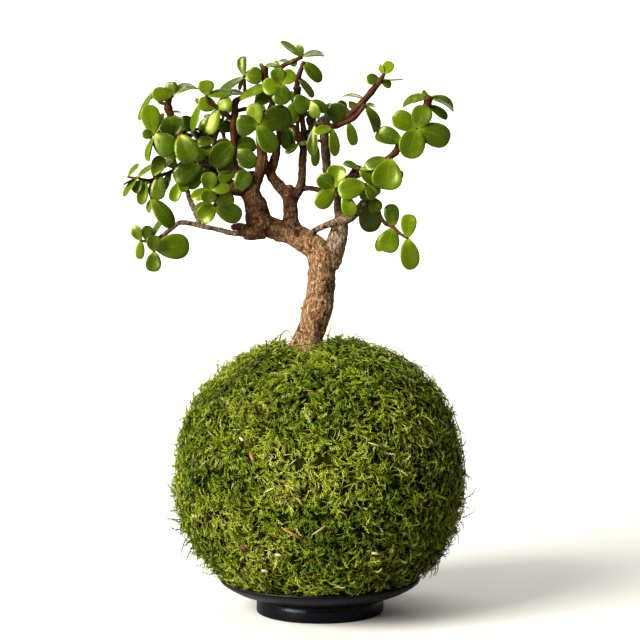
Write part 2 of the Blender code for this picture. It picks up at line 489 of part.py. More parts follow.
def leaf_mesh(base, leaf):
    """A thick egg-shaped leaf: lens sections along an arc, narrow at the base and round at the tip."""
    along, across, face = leaf_frame(leaf)
    bend = math.radians(leaf.bend) or 1e-6
    angles = np.arange(LEAF_SIDES) * 2 * math.pi / LEAF_SIDES
    widest = 0.62**0.8 * 0.38**0.5

    def spine(s):
        forward = math.sin(bend * s) / bend
        droop = (1 - math.cos(bend * s)) / bend
        return base + leaf.length * (along * forward - face * droop)

    rings = []
    for s in LEAF_STATIONS:
        swell = max(s**0.8 * (1 - s) ** 0.5 / widest, LEAF_NECK)
        half = leaf.width / 2 * swell
        thick = leaf.width * LEAF_THICKNESS / 2 * (0.6 + 0.4 * swell)
        normal = face * math.cos(bend * s) + along * math.sin(bend * s)
        section = np.outer(half * np.cos(angles), across) + np.outer(thick * np.sin(angles), normal)
        rings.append(spine(s) + section)
    vertices, faces = rings_mesh(rings)
    tip = len(vertices)
    last = tip - LEAF_SIDES
    faces = faces[:-1] + [(last + side, last + (side + 1) % LEAF_SIDES, tip) for side in range(LEAF_SIDES)]
    return np.vstack((vertices, spine(1.0))), faces


def merge(shells):
    """Several shells as one set of vertices and faces."""
    vertices = []
    faces = []
    count = 0
    for shell_vertices, shell_faces in shells:
        vertices.append(shell_vertices)
        faces.extend(tuple(index + count for index in face) for face in shell_faces)
        count += len(shell_vertices)
    return np.vstack(vertices), faces


def make_material(name, colour, roughness):
    """A plain Principled material."""
    material = bpy.data.materials.new(name)
    material.use_nodes = True
    shader = material.node_tree.nodes["Principled BSDF"]
    shader.inputs["Base Color"].default_value = (*colour, 1)
    shader.inputs["Roughness"].default_value = roughness
    shader.inputs["Metallic"].default_value = 0
    return material


def make_object(name, shell, material=None):
    """A smooth-shaded object from one shell in millimetres, its faces made to point outwards."""
    vertices, faces = shell
    mesh = bpy.data.meshes.new(name)
    mesh.from_pydata((vertices * MM).tolist(), [], faces)
    work = bmesh.new()
    work.from_mesh(mesh)
    bmesh.ops.recalc_face_normals(work, faces=work.faces)
    work.to_mesh(mesh)
    work.free()
    mesh.shade_smooth()
    mesh.set_sharp_from_angle(angle=math.radians(50))
    if material:
        mesh.materials.append(material)
    made = bpy.data.objects.new(name, mesh)
    bpy.context.scene.collection.objects.link(made)
    return made


def make_cutter(name, shell):
    """A helper object for a Boolean, shown as wire and left out of renders."""
    helper = make_object(name, shell)
    helper.hide_render = True
    helper.display_type = "WIRE"
    return helper


def add_boolean(target, helper, operation):
    """Join the helper to the target, or cut it away."""
    boolean = target.modifiers.new(f"{operation.lower()} {helper.name}", "BOOLEAN")
    boolean.operation = operation
    boolean.object = helper
    boolean.solver = "EXACT"
    boolean.use_self = True


def ball_radius(height):
    """Radius of the moss ball at a height: a boxy egg, taller above its waist than below."""
    reach = BALL_RISE if height > BALL_WAIST else BALL_DROP
    share = min(abs(height - BALL_WAIST) / reach, 1.0)
    return BALL_RADIUS * (1 - share**BALL_SQUARENESS) ** (1 / BALL_SQUARENESS)


def ball_profile(inset):
    """Profile of the ball a distance inside its surface, closed by the flat spot at the bottom."""
    shrink = 1 - inset / BALL_RADIUS
    low = BALL_FLAT + inset
    high = BALL_WAIST + BALL_RISE * shrink
    profile = [(0, low)]
    for ring in range(BALL_RINGS):
        share = 0.5 - 0.5 * math.cos(math.pi * ring / BALL_RINGS)
        height = low + (high - low) * share
        full = BALL_WAIST + (height - BALL_WAIST) / shrink
        profile.append((ball_radius(full) * shrink, height))
    profile.append((0, high))
    return profile


def wood_shells(clearance, names=None):
    """One tube for each limb named, every radius made larger by the clearance."""
    limbs = {"trunk": TRUNK, **LIMBS}
    shells = []
    for name in names or limbs:
        points, radii = smooth_route(limbs[name], 1)
        sides = WOOD_SIDES if radii[0] > THICK_WOOD else TWIG_SIDES
        shells.append(tube(points, radii + clearance, sides))
    return shells


def make_dish(material):
    """The turned dish: solid foot, curved underside, thin rim and a shallow well."""
    profile = [
        (0, 0), (FOOT_RADIUS - 1.2, 0), (FOOT_RADIUS, 1.0), (FOOT_RADIUS - 0.1, FOOT_HEIGHT - 2.2),
        (FOOT_RADIUS - 0.8, FOOT_HEIGHT), (43, 10.4), (50, 12.9), (56, 16.2),
        (RIM_RADIUS, RIM_HEIGHT - 1.4),
        (RIM_RADIUS, RIM_HEIGHT - 0.3), (RIM_RADIUS - 0.6, RIM_HEIGHT),
        (RIM_RADIUS - 1.6, RIM_HEIGHT - 0.5),
        (54, 17.0), (48, 14.0), (42, 12.3), (36, WELL_HEIGHT), (0, WELL_HEIGHT),
    ]
    return make_object("dish", lathe(profile, DISH_SIDES), material)


def make_soil(material, roots):
    """The soil ball, with a socket that the trunk and its roots fill."""
    soil = make_object("soil_ball", lathe(ball_profile(MOSS_THICKNESS + GAP), BALL_SIDES), material)
    add_boolean(soil, roots, "DIFFERENCE")
    return soil


def make_moss(material, roots):
    """The moss cover: a thick shell round the soil, open where the trunk comes out."""
    moss = make_object("moss_cover", lathe(ball_profile(0), BALL_SIDES), material)
    hollow = make_cutter("moss hollow", lathe(ball_profile(MOSS_THICKNESS), BALL_SIDES))
    add_boolean(moss, hollow, "DIFFERENCE")
    add_boolean(moss, roots, "DIFFERENCE")
    return moss


def thread_loop(azimuth):
    """One turn of thread round the ball, in an upright plane that passes beside the trunk."""
    radius = BALL_RADIUS + THREAD_LIFT
    inner = (1 - (THREAD_OFFSET / radius) ** BALL_SQUARENESS) ** (1 / BALL_SQUARENESS)
    bearing = math.radians(azimuth)
    along = np.array((math.cos(bearing), math.sin(bearing), 0))
    aside = np.array((-math.sin(bearing), math.cos(bearing), 0)) * THREAD_OFFSET
    points = []
    for step in range(THREAD_STEPS):
        angle = 2 * math.pi * (step + 0.5) / THREAD_STEPS
        share = inner * abs(math.sin(angle)) ** (2 / BALL_SQUARENESS)
        reach = BALL_RISE + THREAD_LIFT if math.sin(angle) > 0 else -BALL_DROP - THREAD_LIFT
        level = radius * (1 - share**BALL_SQUARENESS) ** (1 / BALL_SQUARENESS)
        out = math.copysign(math.sqrt(level**2 - THREAD_OFFSET**2), math.cos(angle))
        height = max(BALL_WAIST + share * reach, THREAD_LEVEL)
        points.append(along * out + aside + np.array((0, 0, height)))
    return np.array(points)


def make_thread(material):
    """Turns of thread that cross each other round the trunk and under the ball, joined as one piece."""
    radii = np.full(THREAD_STEPS, THREAD_RADIUS)
    turns = []
    for turn in range(THREAD_TURNS):
        azimuth = 75 + turn * 360 / THREAD_TURNS
        turns.append(tube(thread_loop(azimuth), radii, THREAD_SIDES, closed=True))
    thread = make_object("binding_thread", turns[0], material)
    add_boolean(thread, make_cutter("thread turns", merge(turns[1:])), "UNION")
    return thread


def make_trunk(material):
    """The woody plant: trunk, limbs, twigs, cut stubs and roots grown as one piece."""
    shells = wood_shells(0)
    trunk = make_object("trunk", shells[0], material)
    add_boolean(trunk, make_cutter("limbs", merge(shells[1:])), "UNION")
    return trunk


def stem_point(stems, at):
    """World point on a shoot's stems; each ten of at is the next twig."""
    spots = stems[int(at // 10)]
    station = at % 10
    low = min(int(station), len(spots) - 2)
    share = station - low
    start = place(*spots[low][:3])
    return start + (place(*spots[low + 1][:3]) - start) * share


def stem_shells(shoot):
    """Tubes for a shoot's stems, the first one starting clear of the wood that carries it."""
    shells = []
    for number, spots in enumerate(shoot.stems):
        points = np.array([place(x, z, depth) for x, z, depth, _ in spots])
        radii = np.array([radius for *_, radius in spots])
        if number == 0:
            points[0] += unit(points[1] - points[0]) * (shoot.seat + GAP)
        shells.append(tube(points, radii, STEM_SIDES))
    return shells


def make_shoot(name, shoot, material):
    """A leafy shoot: stem, twigs and leaves joined as one piece."""
    stems = stem_shells(shoot)
    leaves = [leaf_mesh(stem_point(shoot.stems, leaf.at), leaf) for leaf in shoot.leaves]
    made = make_object(name, stems[0], material)
    add_boolean(made, make_cutter(f"{name} leaves", merge(stems[1:] + leaves)), "UNION")
    return made


def leaf_towards(at, along, face, length, width):
    """The leaf at a stem station that points along one direction, its upper face to another."""
    square = unit(np.array((0.0, -1.0, 0.0)) + along * along[1])
    across = np.cross(square, along)
    return Leaf(
        at, math.degrees(math.atan2(along[2], along[0])), math.degrees(math.asin(-along[1])),
        length, width, math.degrees(math.atan2(np.dot(face, across), np.dot(face, square))),
    )


def paired_shoot(seat, stem, length, width):
    """A shoot with a pair of opposite leaves at each stem point, each pair turned square to the last."""
    lift = math.radians(PAIR_LIFT)
    points = [place(x, z, depth) for x, z, depth, _ in stem]
    leaves = []
    for station in range(1, len(stem)):
        tip = unit(points[station] - points[station - 1])
        side = unit(np.cross(tip, (0.2, 0.9, 0.4)))
        if station % 2:
            side = np.cross(tip, side)
        for out in (side, -side):
            along = out * math.cos(lift) + tip * math.sin(lift)
            face = unit(tip - along * np.dot(along, tip))
            leaves.append(leaf_towards(station, along, face, length, width))
    return Shoot(seat, [stem], leaves)


def main():
    """Build the plant, its ball and its dish."""
    for old in list(bpy.data.objects):
        bpy.data.objects.remove(old)
    bark = make_material("bark", (0.36, 0.23, 0.14), 0.8)
    leaf = make_material("leaf", (0.17, 0.33, 0.02), 0.35)
    moss = make_material("moss", (0.12, 0.20, 0.02), 0.9)
    soil = make_material("soil", (0.09, 0.06, 0.04), 0.95)
    glaze = make_material("black glaze", (0.012, 0.013, 0.017), 0.3)
    cotton = make_material("thread", (0.20, 0.22, 0.12), 0.8)
    roots = make_cutter("trunk clearance", merge(wood_shells(GAP, [
        "trunk", "root_left", "root_right", "root_back", "root_rear_left", "root_down",
    ])))
    make_dish(glaze)
    make_soil(soil, roots)
    make_moss(moss, roots)
    make_thread(cotton)
    make_trunk(bark)
    for name, shoot in SHOOTS.items():
        make_shoot(name, shoot, leaf)
    for name, (seat, stem, length, width) in REAR_SHOOTS.items():
        make_shoot(name, paired_shoot(seat, stem, length, width), leaf)


main()
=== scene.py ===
"""Looks of a kokedama: a dwarf jade tree in a moss-wrapped ball of soil, on a black footed dish.

Lengths are in millimetres until a mesh is made, where MM turns them into metres. +Z is up, the
viewer's side is -Y and the origin is the middle of the underside of the dish.

The plant is laid out on a drawing seen from the front. A spot on it is (x, z), and a depth pushes
the spot back from the plane of the trunk, away from the sight point, so that it keeps its place on
the drawing whatever its depth is.
"""

from __future__ import annotations

import itertools
import logging
import math
from dataclasses import dataclass, field, fields
from enum import Enum
from functools import cached_property
from typing import Any, Sequence

import bpy
import numpy as np
from mathutils import Matrix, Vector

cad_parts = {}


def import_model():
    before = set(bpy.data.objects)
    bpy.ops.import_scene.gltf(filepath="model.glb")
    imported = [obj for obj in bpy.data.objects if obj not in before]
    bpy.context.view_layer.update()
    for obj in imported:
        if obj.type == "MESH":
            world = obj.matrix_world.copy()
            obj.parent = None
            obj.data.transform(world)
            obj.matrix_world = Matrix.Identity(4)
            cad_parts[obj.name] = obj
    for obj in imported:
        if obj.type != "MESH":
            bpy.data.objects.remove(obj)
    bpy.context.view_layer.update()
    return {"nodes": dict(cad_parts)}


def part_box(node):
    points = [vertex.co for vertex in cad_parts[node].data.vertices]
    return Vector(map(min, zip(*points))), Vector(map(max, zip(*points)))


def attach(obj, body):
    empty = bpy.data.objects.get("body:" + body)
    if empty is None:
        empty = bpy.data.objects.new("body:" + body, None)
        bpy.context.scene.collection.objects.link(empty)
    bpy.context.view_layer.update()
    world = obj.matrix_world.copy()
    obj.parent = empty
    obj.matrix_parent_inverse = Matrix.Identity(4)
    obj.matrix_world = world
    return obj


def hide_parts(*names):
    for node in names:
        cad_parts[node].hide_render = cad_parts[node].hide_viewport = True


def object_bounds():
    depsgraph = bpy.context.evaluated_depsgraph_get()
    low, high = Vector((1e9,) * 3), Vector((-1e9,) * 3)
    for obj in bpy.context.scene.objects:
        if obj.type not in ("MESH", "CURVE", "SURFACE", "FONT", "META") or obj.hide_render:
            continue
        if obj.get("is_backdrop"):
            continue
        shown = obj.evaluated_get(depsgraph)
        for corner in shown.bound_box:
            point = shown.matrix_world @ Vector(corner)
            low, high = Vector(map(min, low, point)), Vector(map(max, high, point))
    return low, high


LOG = logging.getLogger("kokedama")

Array = np.ndarray
Material = bpy.types.Material
Socket = bpy.types.NodeSocket
Draws = np.random.Generator
Colour = tuple[float, float, float]
Point = tuple[float, float, float]
Spot = tuple[float, float, float, float]

MM = 0.001

SIGHT_DISTANCE = 821.0
SIGHT_HEIGHT = 174.0

# Large odd numbers that scatter the lattice's places and seeds
HASH_STEPS = np.array((73856093, 19349663, 83492791))
HASH_SEED = 668265263
HASH_MIX = 1274126177

# The strength of each finer layer of noise, of the one before
LAYER_FADE = 0.55

# A direction that no route starts along, from which its frames are turned
SIDE_START = (0.31, 0.87, 0.38)

# How far a tube's ends are domed, in radii, and the run in millimetres for 1 of its map
DOME = 0.5
MAP_RUN = 100.0

# The tone of shells whose finish reads none
PLAIN = 0.5


class MaterialSlot(Enum):
    """The record's material slots."""

    LEAF = "leaf"
    BARK = "bark"
    MOSS = "moss"
    SOIL = "soil"
    THREAD = "thread"
    DISH = "dish"


# ---------------------------------------------------------------- points, noise and routes


def place(x: Any, z: Any, depth: Any) -> Array:
    """World point of the spot (x, z) on the front drawing at a depth.

    Args:
        x: how far right of the middle, a number or an array.
        z: height on the drawing.
        depth: how far behind the plane of the trunk.

    Returns:
        The point, or one row for each number.
    """
    depth = np.asarray(depth, float)
    spread = 1 + depth / SIGHT_DISTANCE
    height = SIGHT_HEIGHT + (z - SIGHT_HEIGHT) * spread
    return np.stack(np.broadcast_arrays(x * spread, depth, height), axis=-1)


def unit(vectors: Array) -> Array:
    """The vectors, each divided by its own length."""
    return vectors / np.linalg.norm(vectors, axis=-1, keepdims=True)


def lattice_noise(points: Array, cell: float, seed: int) -> Array:
    """Smooth random value from -1 to 1 at each point.

    Random numbers sit on a cubic lattice. Each point blends the eight round it, weighted by
    3t^2 - 2t^3 of its place t in the cell along each axis.

    Args:
        points: any number of rows of x, y and z.
        cell: side of a lattice cell.
        seed: picks another set of random numbers.

    Returns:
        One value for each row.
    """
    scaled = points / cell
    low = np.floor(scaled).astype(np.int64)
    part = scaled - low
    ease = part * part * (3 - 2 * part)
    total = np.zeros(points.shape[:-1])
    for corner in itertools.product((0, 1), repeat=3):
        at = low + corner
        mixed = np.bitwise_xor.reduce(at * HASH_STEPS, axis=-1) ^ (seed * HASH_SEED)
        mixed = ((mixed ^ (mixed >> 13)) * HASH_MIX) & 0xFFFFFFFF
        value = ((mixed ^ (mixed >> 16)) & 0xFFFFFF) / 0x7FFFFF - 1
        total += value * np.prod(np.where(corner, ease, 1 - ease), axis=-1)
    return total


def layered_noise(points: Array, cell: float, layers: int, seed: int) -> Array:
    """Lattice noise in layers, each with half the cell and LAYER_FADE of the strength of the last.

    Args:
        points: any number of rows of x, y and z.
        cell: the first layer's.
        layers: how many.
        seed: of the first layer.

    Returns:
        One value for each row.
    """
    total = np.zeros(points.shape[:-1])
    for layer in range(layers):
        total += LAYER_FADE**layer * lattice_noise(points, cell / 2**layer, seed + layer)
    return total


@dataclass(frozen=True)
class Route:
    """A smooth line through drawing spots, with a radius at each of its points."""

    points: Array
    radii: Array
    steps: int

    @classmethod
    def through(cls, spots: Sequence[Spot], steps: int) -> Route:
        """A Catmull-Rom curve: cubics that pass each spot along the line of its two neighbours.

        Args:
            spots: rows of x, z, depth and radius.
            steps: points on each stretch between two spots.

        Returns:
            The route.
        """
        knots = np.array([(*place(x, z, depth), radius) for x, z, depth, radius in spots])
        before = np.vstack((2 * knots[0] - knots[1], knots[:-2]))[:, None]
        start = knots[:-1, None]
        end = knots[1:, None]
        after = np.vstack((knots[2:], 2 * knots[-1] - knots[-2]))[:, None]
        t = (np.arange(steps) / steps)[None, :, None]
        rows = 0.5 * (
            2 * start
            + (end - before) * t
            + (2 * before - 5 * start + 4 * end - after) * t**2
            + (3 * start - before - 3 * end + after) * t**3
        )
        rows = np.vstack((rows.reshape(-1, 4), knots[-1]))
        return cls(rows[:, :3], rows[:, 3], steps)

    def at(self, station: float) -> Array:
        """The point at a station.

        Args:
            station: whole numbers are the route's spots.

        Returns:
            The point.
        """
        index = min(station * self.steps, len(self.points) - 1)
        low = min(int(index), len(self.points) - 2)
        return self.points[low] + (self.points[low + 1] - self.points[low]) * (index - low)

    def frames(self) -> tuple[Array, Array, Array]:
        """Directions along, across and above the route at each point, turned as little as possible.

        Returns:
            Three arrays with one unit vector for each point.
        """
        along = unit(np.gradient(self.points, axis=0))
        across = np.empty_like(along)
        side = np.cross(along[0], SIDE_START)
        for row, ahead in enumerate(along):
            side = side - ahead * np.dot(side, ahead)
            side = side / np.linalg.norm(side)
            across[row] = side
        return along, across, np.cross(along, across)

    def run(self) -> Array:
        """Distance along the route to each of its points."""
        gaps = np.linalg.norm(np.diff(self.points, axis=0), axis=1)
        return np.concatenate(([0.0], np.cumsum(gaps)))


# ---------------------------------------------------------------- meshes


@dataclass
class Shell:
    """Closed surfaces as points and faces, with what their finishes read.

    Attributes:
        points: one row for each point.
        quads: faces of four points.
        tris: faces of three points.
        uv: across and along values of each point.
        tone: the shade of each point, 0 dark to 1 bright; on leaves it is partly painted light and
            shade.
        part: the place in the piece's list of materials.
    """

    points: Array
    quads: Array
    tris: Array
    uv: Array
    tone: Array
    part: int = 0


def tubes(rings: Array, starts: Array, ends: Array, uv: Array, tone: Array, part: int = 0) -> Shell:
    """Closed tubes, all with the same number of rings and sides.

    Ring i is joined to ring i + 1 by quads, and the first and last rings to their end points by
    triangles.

    Args:
        rings: points as tube, ring, side and axis, each ring anticlockwise seen from the far end.
        starts: the point that closes each tube's first ring.
        ends: the point that closes each tube's last ring.
        uv: across and along values as tube, ring, side and 2.
        tone: the shade of each tube.
        part: the place in the piece's list of materials.

    Returns:
        One shell of all the tubes.
    """
    count, length, sides = rings.shape[:3]
    size = length * sides + 2
    points = np.concatenate((rings.reshape(count, -1, 3), starts[:, None], ends[:, None]), axis=1)
    ends_uv = np.stack((uv[:, 0].mean(axis=1), uv[:, -1].mean(axis=1)), axis=1)
    uv = np.concatenate((uv.reshape(count, -1, 2), ends_uv), axis=1)
    ring, side = np.meshgrid(np.arange(length - 1) * sides, np.arange(sides), indexing="ij")
    after = (side + 1) % sides
    around = (ring + side, ring + after, ring + sides + after, ring + sides + side)
    quads = np.stack(around, axis=-1).reshape(-1, 4)
    first = np.arange(sides)
    follow = (first + 1) % sides
    last = (length - 1) * sides
    low = np.stack((follow, first, np.full(sides, size - 2)), axis=-1)
    high = np.stack((last + first, last + follow, np.full(sides, size - 1)), axis=-1)
    tris = np.concatenate((low, high))
    shift = (np.arange(count) * size)[:, None, None]
    return Shell(
        points.reshape(-1, 3),
        (quads[None] + shift).reshape(-1, 4),
        (tris[None] + shift).reshape(-1, 3),
        uv.reshape(-1, 2),
        np.repeat(tone, size),
        part,
    )


def route_tube(route: Route, sides: int, tone: float, part: int = 0) -> Shell:
    """A round tube with domed ends: each ring is the radius times cos and sin across the route.

    Args:
        route: the line and its radii.
        sides: points round a ring.
        tone: the tube's shade.
        part: the place in the piece's list of materials.

    Returns:
        The closed tube.
    """
    along, across, above = route.frames()
    turn = np.arange(sides) * 2 * math.pi / sides
    radii = route.radii[:, None, None]
    circle = np.cos(turn)[:, None] * across[:, None] + np.sin(turn)[:, None] * above[:, None]
    rings = route.points[:, None] + radii * circle
    tail = route.points[0] - along[0] * route.radii[0] * DOME
    head = route.points[-1] + along[-1] * route.radii[-1] * DOME
    run = route.run()[:, None] / MAP_RUN
    uv = np.stack(np.broadcast_arrays(0.5 + 0.5 * np.cos(turn), run), axis=-1)
    return tubes(rings[None], tail[None], head[None], uv[None], np.array([tone]), part)


def lathe(profile: Array, sides: int) -> Shell:
    """A turned solid: each (radius, height) becomes a ring at the radius times cos and sin.

    Args:
        profile: points from near the axis at the bottom, out, up and back to near the axis.
        sides: points round a ring.

    Returns:
        The closed solid.
    """
    turn = np.arange(sides) * 2 * math.pi / sides
    circle = np.column_stack((np.cos(turn), np.sin(turn), np.zeros(sides)))
    rings = profile[:, None, :1] * circle[None]
    rings[..., 2] = profile[:, 1:2]
    share = np.linspace(0, 1, len(profile))[:, None]
    uv = np.stack(np.broadcast_arrays(0.5 + 0.5 * np.cos(turn), share), axis=-1)
    low = np.array([[0, 0, profile[0, 1]]])
    high = np.array([[0, 0, profile[-1, 1]]])
    return tubes(rings[None], low, high, uv[None], np.array([PLAIN]))


def make_piece(
    name: str,
    shells: Sequence[Shell],
    finishes: Sequence[Material],
    uv_name: str = "surface",
) -> bpy.types.Object:
    """A smooth-shaded object at the origin from shells in millimetres.

    Args:
        name: the piece's name.
        shells: its surfaces.
        finishes: its materials, which each shell's part counts from 0.
        uv_name: the name of its UV map.

    Returns:
        The object.
    """
    offsets = np.cumsum([0] + [len(shell.points) for shell in shells])
    points = np.concatenate([shell.points for shell in shells])
    quads = np.concatenate([shell.quads + offset for shell, offset in zip(shells, offsets)])
    tris = np.concatenate([shell.tris + offset for shell, offset in zip(shells, offsets)])
    corners = np.concatenate((quads.ravel(), tris.ravel())).astype(np.int32)
    starts = np.concatenate((np.arange(len(quads)) * 4, len(quads) * 4 + np.arange(len(tris)) * 3))
    counts = [len(shell.quads) for shell in shells] + [len(shell.tris) for shell in shells]
    part = np.repeat([shell.part for shell in shells] * 2, counts)
    mesh = bpy.data.meshes.new(name)
    mesh.vertices.add(len(points))
    mesh.vertices.foreach_set("co", (points * MM).astype(np.float32).ravel())
    mesh.loops.add(len(corners))
    mesh.loops.foreach_set("vertex_index", corners)
    mesh.polygons.add(len(starts))
    mesh.polygons.foreach_set("loop_start", starts.astype(np.int32))
    mesh.polygons.foreach_set("material_index", part.astype(np.int32))
    mesh.polygons.foreach_set("use_smooth", np.ones(len(starts), bool))
    uv = np.concatenate([shell.uv for shell in shells])
    layer = mesh.uv_layers.new(name=uv_name)
    layer.uv.foreach_set("vector", uv[corners].astype(np.float32).ravel())
    tone = mesh.attributes.new("tone", "FLOAT", "POINT")
    shades = np.concatenate([shell.tone for shell in shells])
    tone.data.foreach_set("value", shades.astype(np.float32))
    mesh.update(calc_edges=True)
    for finish in finishes:
        mesh.materials.append(finish)
    piece = bpy.data.objects.new(name, mesh)
    bpy.context.scene.collection.objects.link(piece)
    return piece


def settle(piece: bpy.types.Object, slot: MaterialSlot, *nodes: str) -> None:
    """Fixes a piece to the body, hides the nodes it stands for, and reports it.

    Args:
        piece: the finished object.
        slot: the record's material slot it takes its finish from; not used.
        nodes: the CAD nodes it stands for.
    """
    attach(piece, "root")
    if nodes:
        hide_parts(*nodes)
    LOG.info("%s: %d faces", piece.name, len(piece.data.polygons))


# ---------------------------------------------------------------- finishes


class Graph:
    """Adds shader nodes to a tree and joins them."""

    def __init__(self, tree: bpy.types.NodeTree) -> None:
        """Starts on a tree, keeping the nodes it has."""
        self.tree = tree

    def fill(self, node: bpy.types.Node, inputs: dict[Any, Any]) -> None:
        """Joins or sets a node's inputs.

        Args:
            node: the node.
            inputs: sockets to join or plain values to set, by the input's name or number.
        """
        for key, value in inputs.items():
            if isinstance(value, bpy.types.NodeSocket):
                self.tree.links.new(value, node.inputs[key])
            elif node.inputs[key].type == "RGBA":
                node.inputs[key].default_value = (*value, 1)
            else:
                node.inputs[key].default_value = value

    def add(self, kind: str, inputs: Any = None, **settings: Any) -> bpy.types.Node:
        """Adds a node.

        Args:
            kind: the node's type name without its ShaderNode prefix.
            inputs: what goes into it, as for fill.
            settings: the node's own properties.

        Returns:
            The node.
        """
        node = self.tree.nodes.new(f"ShaderNode{kind}")
        for key, value in settings.items():
            setattr(node, key, value)
        self.fill(node, inputs or {})
        return node

    def math(self, operation: str, first: Any, second: Any = 0.0, clamp: bool = False) -> Socket:
        """The result of one sum on two sockets or numbers."""
        node = self.add("Math", {0: first, 1: second}, operation=operation, use_clamp=clamp)
        return node.outputs[0]

    def times(self, first: Any, second: Any) -> Socket:
        """The product of two sockets or numbers."""
        return self.math("MULTIPLY", first, second)

    def plus(self, first: Any, second: Any, clamp: bool = False) -> Socket:
        """The sum of two sockets or numbers, held from 0 to 1 where clamp is set."""
        return self.math("ADD", first, second, clamp)

    def band(self, value: Any, low: Any, high: Any, start: Any = 0.0, end: Any = 1.0) -> Socket:
        """The value eased from start to end as it goes from low to high."""
        inputs = {"Value": value, "From Min": low, "From Max": high, "To Min": start, "To Max": end}
        return self.add("MapRange", inputs, interpolation_type="SMOOTHSTEP").outputs["Result"]

    def blend(self, share: Any, first: Any, second: Any) -> Socket:
        """Two colours mixed by a share from 0 to 1."""
        return self.add("Mix", {0: share, 6: first, 7: second}, data_type="RGBA").outputs[2]

    def ramp(self, value: Any, stops: Sequence[tuple[float, Colour]]) -> Socket:
        """The colour at a value, mixed between the two stops it lies between.

        Args:
            value: from 0 to 1.
            stops: a value and its colour for each stop, in order.

        Returns:
            The colour's socket.
        """
        node = self.add("ValToRGB", {0: value})
        elements = node.color_ramp.elements
        for _ in stops[2:]:
            elements.new(0.5)
        for element, (position, colour) in zip(elements, stops):
            element.position = position
            element.color = (*colour, 1)
        return node.outputs[0]

    def attribute(self, name: str) -> Socket:
        """The number that the mesh holds under a name."""
        return self.add("Attribute", attribute_name=name).outputs["Fac"]

    def axes(self, vector: Any) -> Any:
        """The three numbers of a vector."""
        return self.add("SeparateXYZ", {0: vector}).outputs

    def across_along(self, name: str) -> tuple[Socket, Socket]:
        """The two values of a UV map."""
        values = self.axes(self.add("UVMap", uv_map=name).outputs[0])
        return values[0], values[1]


def shader_group(name: str, inputs: dict[str, float]) -> tuple[Graph, Any]:
    """An empty shader node group that takes a Place and some numbers, and puts out a Value.

    Args:
        name: the group's name.
        inputs: each number's value by its name.

    Returns:
        The group's graph and its inputs as sockets by name.
    """
    group = bpy.data.node_groups.new(name, "ShaderNodeTree")
    group.interface.new_socket(name="Place", in_out="INPUT", socket_type="NodeSocketVector")
    for key, value in inputs.items():
        socket = group.interface.new_socket(name=key, in_out="INPUT", socket_type="NodeSocketFloat")
        socket.default_value = value
    group.interface.new_socket(name="Value", in_out="OUTPUT", socket_type="NodeSocketFloat")
    return Graph(group), group.nodes.new("NodeGroupInput").outputs


class Effects:
    """The shader node groups that several finishes share."""

    def __init__(self) -> None:
        """Builds each group once."""
        self.mottle = self.mottle_group()
        self.pores = self.pores_group()

    @staticmethod
    def mottle_group() -> bpy.types.NodeTree:
        """Soft patches: noise at a scale in patches to the metre, eased from Low to High.

        Returns:
            The group.
        """
        graph, given = shader_group("mottle", {"Scale": 100.0, "Low": 0.0, "High": 1.0})
        inputs = {"Vector": given["Place"], "Scale": given["Scale"]}
        noise = graph.add("TexNoise", inputs | {"Detail": 3.0, "Roughness": 0.6}).outputs["Fac"]
        value = graph.band(noise, 0.3, 0.7, given["Low"], given["High"])
        graph.fill(graph.tree.nodes.new("NodeGroupOutput"), {"Value": value})
        return graph.tree

    @staticmethod
    def pores_group() -> bpy.types.NodeTree:
        """Small pits: 1 between the cells of a Voronoi pattern and 0 at the middle of each.

        Returns:
            The group.
        """
        graph, given = shader_group("pores", {"Scale": 500.0, "Spread": 0.6})
        inputs = {"Vector": given["Place"], "Scale": given["Scale"], "Randomness": 1.0}
        cells = graph.add("TexVoronoi", inputs).outputs["Distance"]
        value = graph.band(cells, 0.0, given["Spread"])
        graph.fill(graph.tree.nodes.new("NodeGroupOutput"), {"Value": value})
        return graph.tree


class Coat(Graph):
    """A new material's graph, with its shader and the shared effects."""

    def __init__(self, name: str, effects: Effects) -> None:
        """Makes the material.

        Args:
            name: the material's name.
            effects: the shared shader node groups.
        """
        self.material = bpy.data.materials.new(name)
        self.material.use_nodes = True
        super().__init__(self.material.node_tree)
        self.shader = self.tree.nodes["Principled BSDF"]
        self.effects = effects

    @cached_property
    def where(self) -> Socket:
        """Object coordinates, in metres."""
        return self.add("TexCoord").outputs["Object"]

    def patches(
        self, scale: float, low: float = 0.0, high: float = 1.0, where: Any = None
    ) -> Socket:
        """Soft patches.

        Args:
            scale: patches to the metre.
            low: the least value.
            high: the greatest value.
            where: the coordinates, which are the object's own unless others are given.

        Returns:
            A number from low to high.
        """
        inputs = {"Place": where or self.where, "Scale": scale, "Low": low, "High": high}
        return self.add("Group", inputs, node_tree=self.effects.mottle).outputs["Value"]

    def pits(self, scale: float, spread: float = 0.6) -> Socket:
        """Small pits at a scale in pits to the metre, as a number from 0 to 1."""
        inputs = {"Place": self.where, "Scale": scale, "Spread": spread}
        return self.add("Group", inputs, node_tree=self.effects.pores).outputs["Value"]

    def dress(self, colour: Any, **inputs: Any) -> None:
        """Gives the shader its colour, and its other inputs by name, with _ for a space."""
        named = {key.replace("_", " "): value for key, value in inputs.items()}
        self.fill(self.shader, {"Base Color": colour} | named)

    def raise_relief(self, height: Any, depth: float) -> None:
        """Joins a height from 0 to 1 to the shader's normal, at a depth in millimetres."""
        bump = self.add("Bump", {"Height": height, "Distance": depth * MM, "Strength": 1.0})
        self.fill(self.shader, {"Normal": bump.outputs[0]})


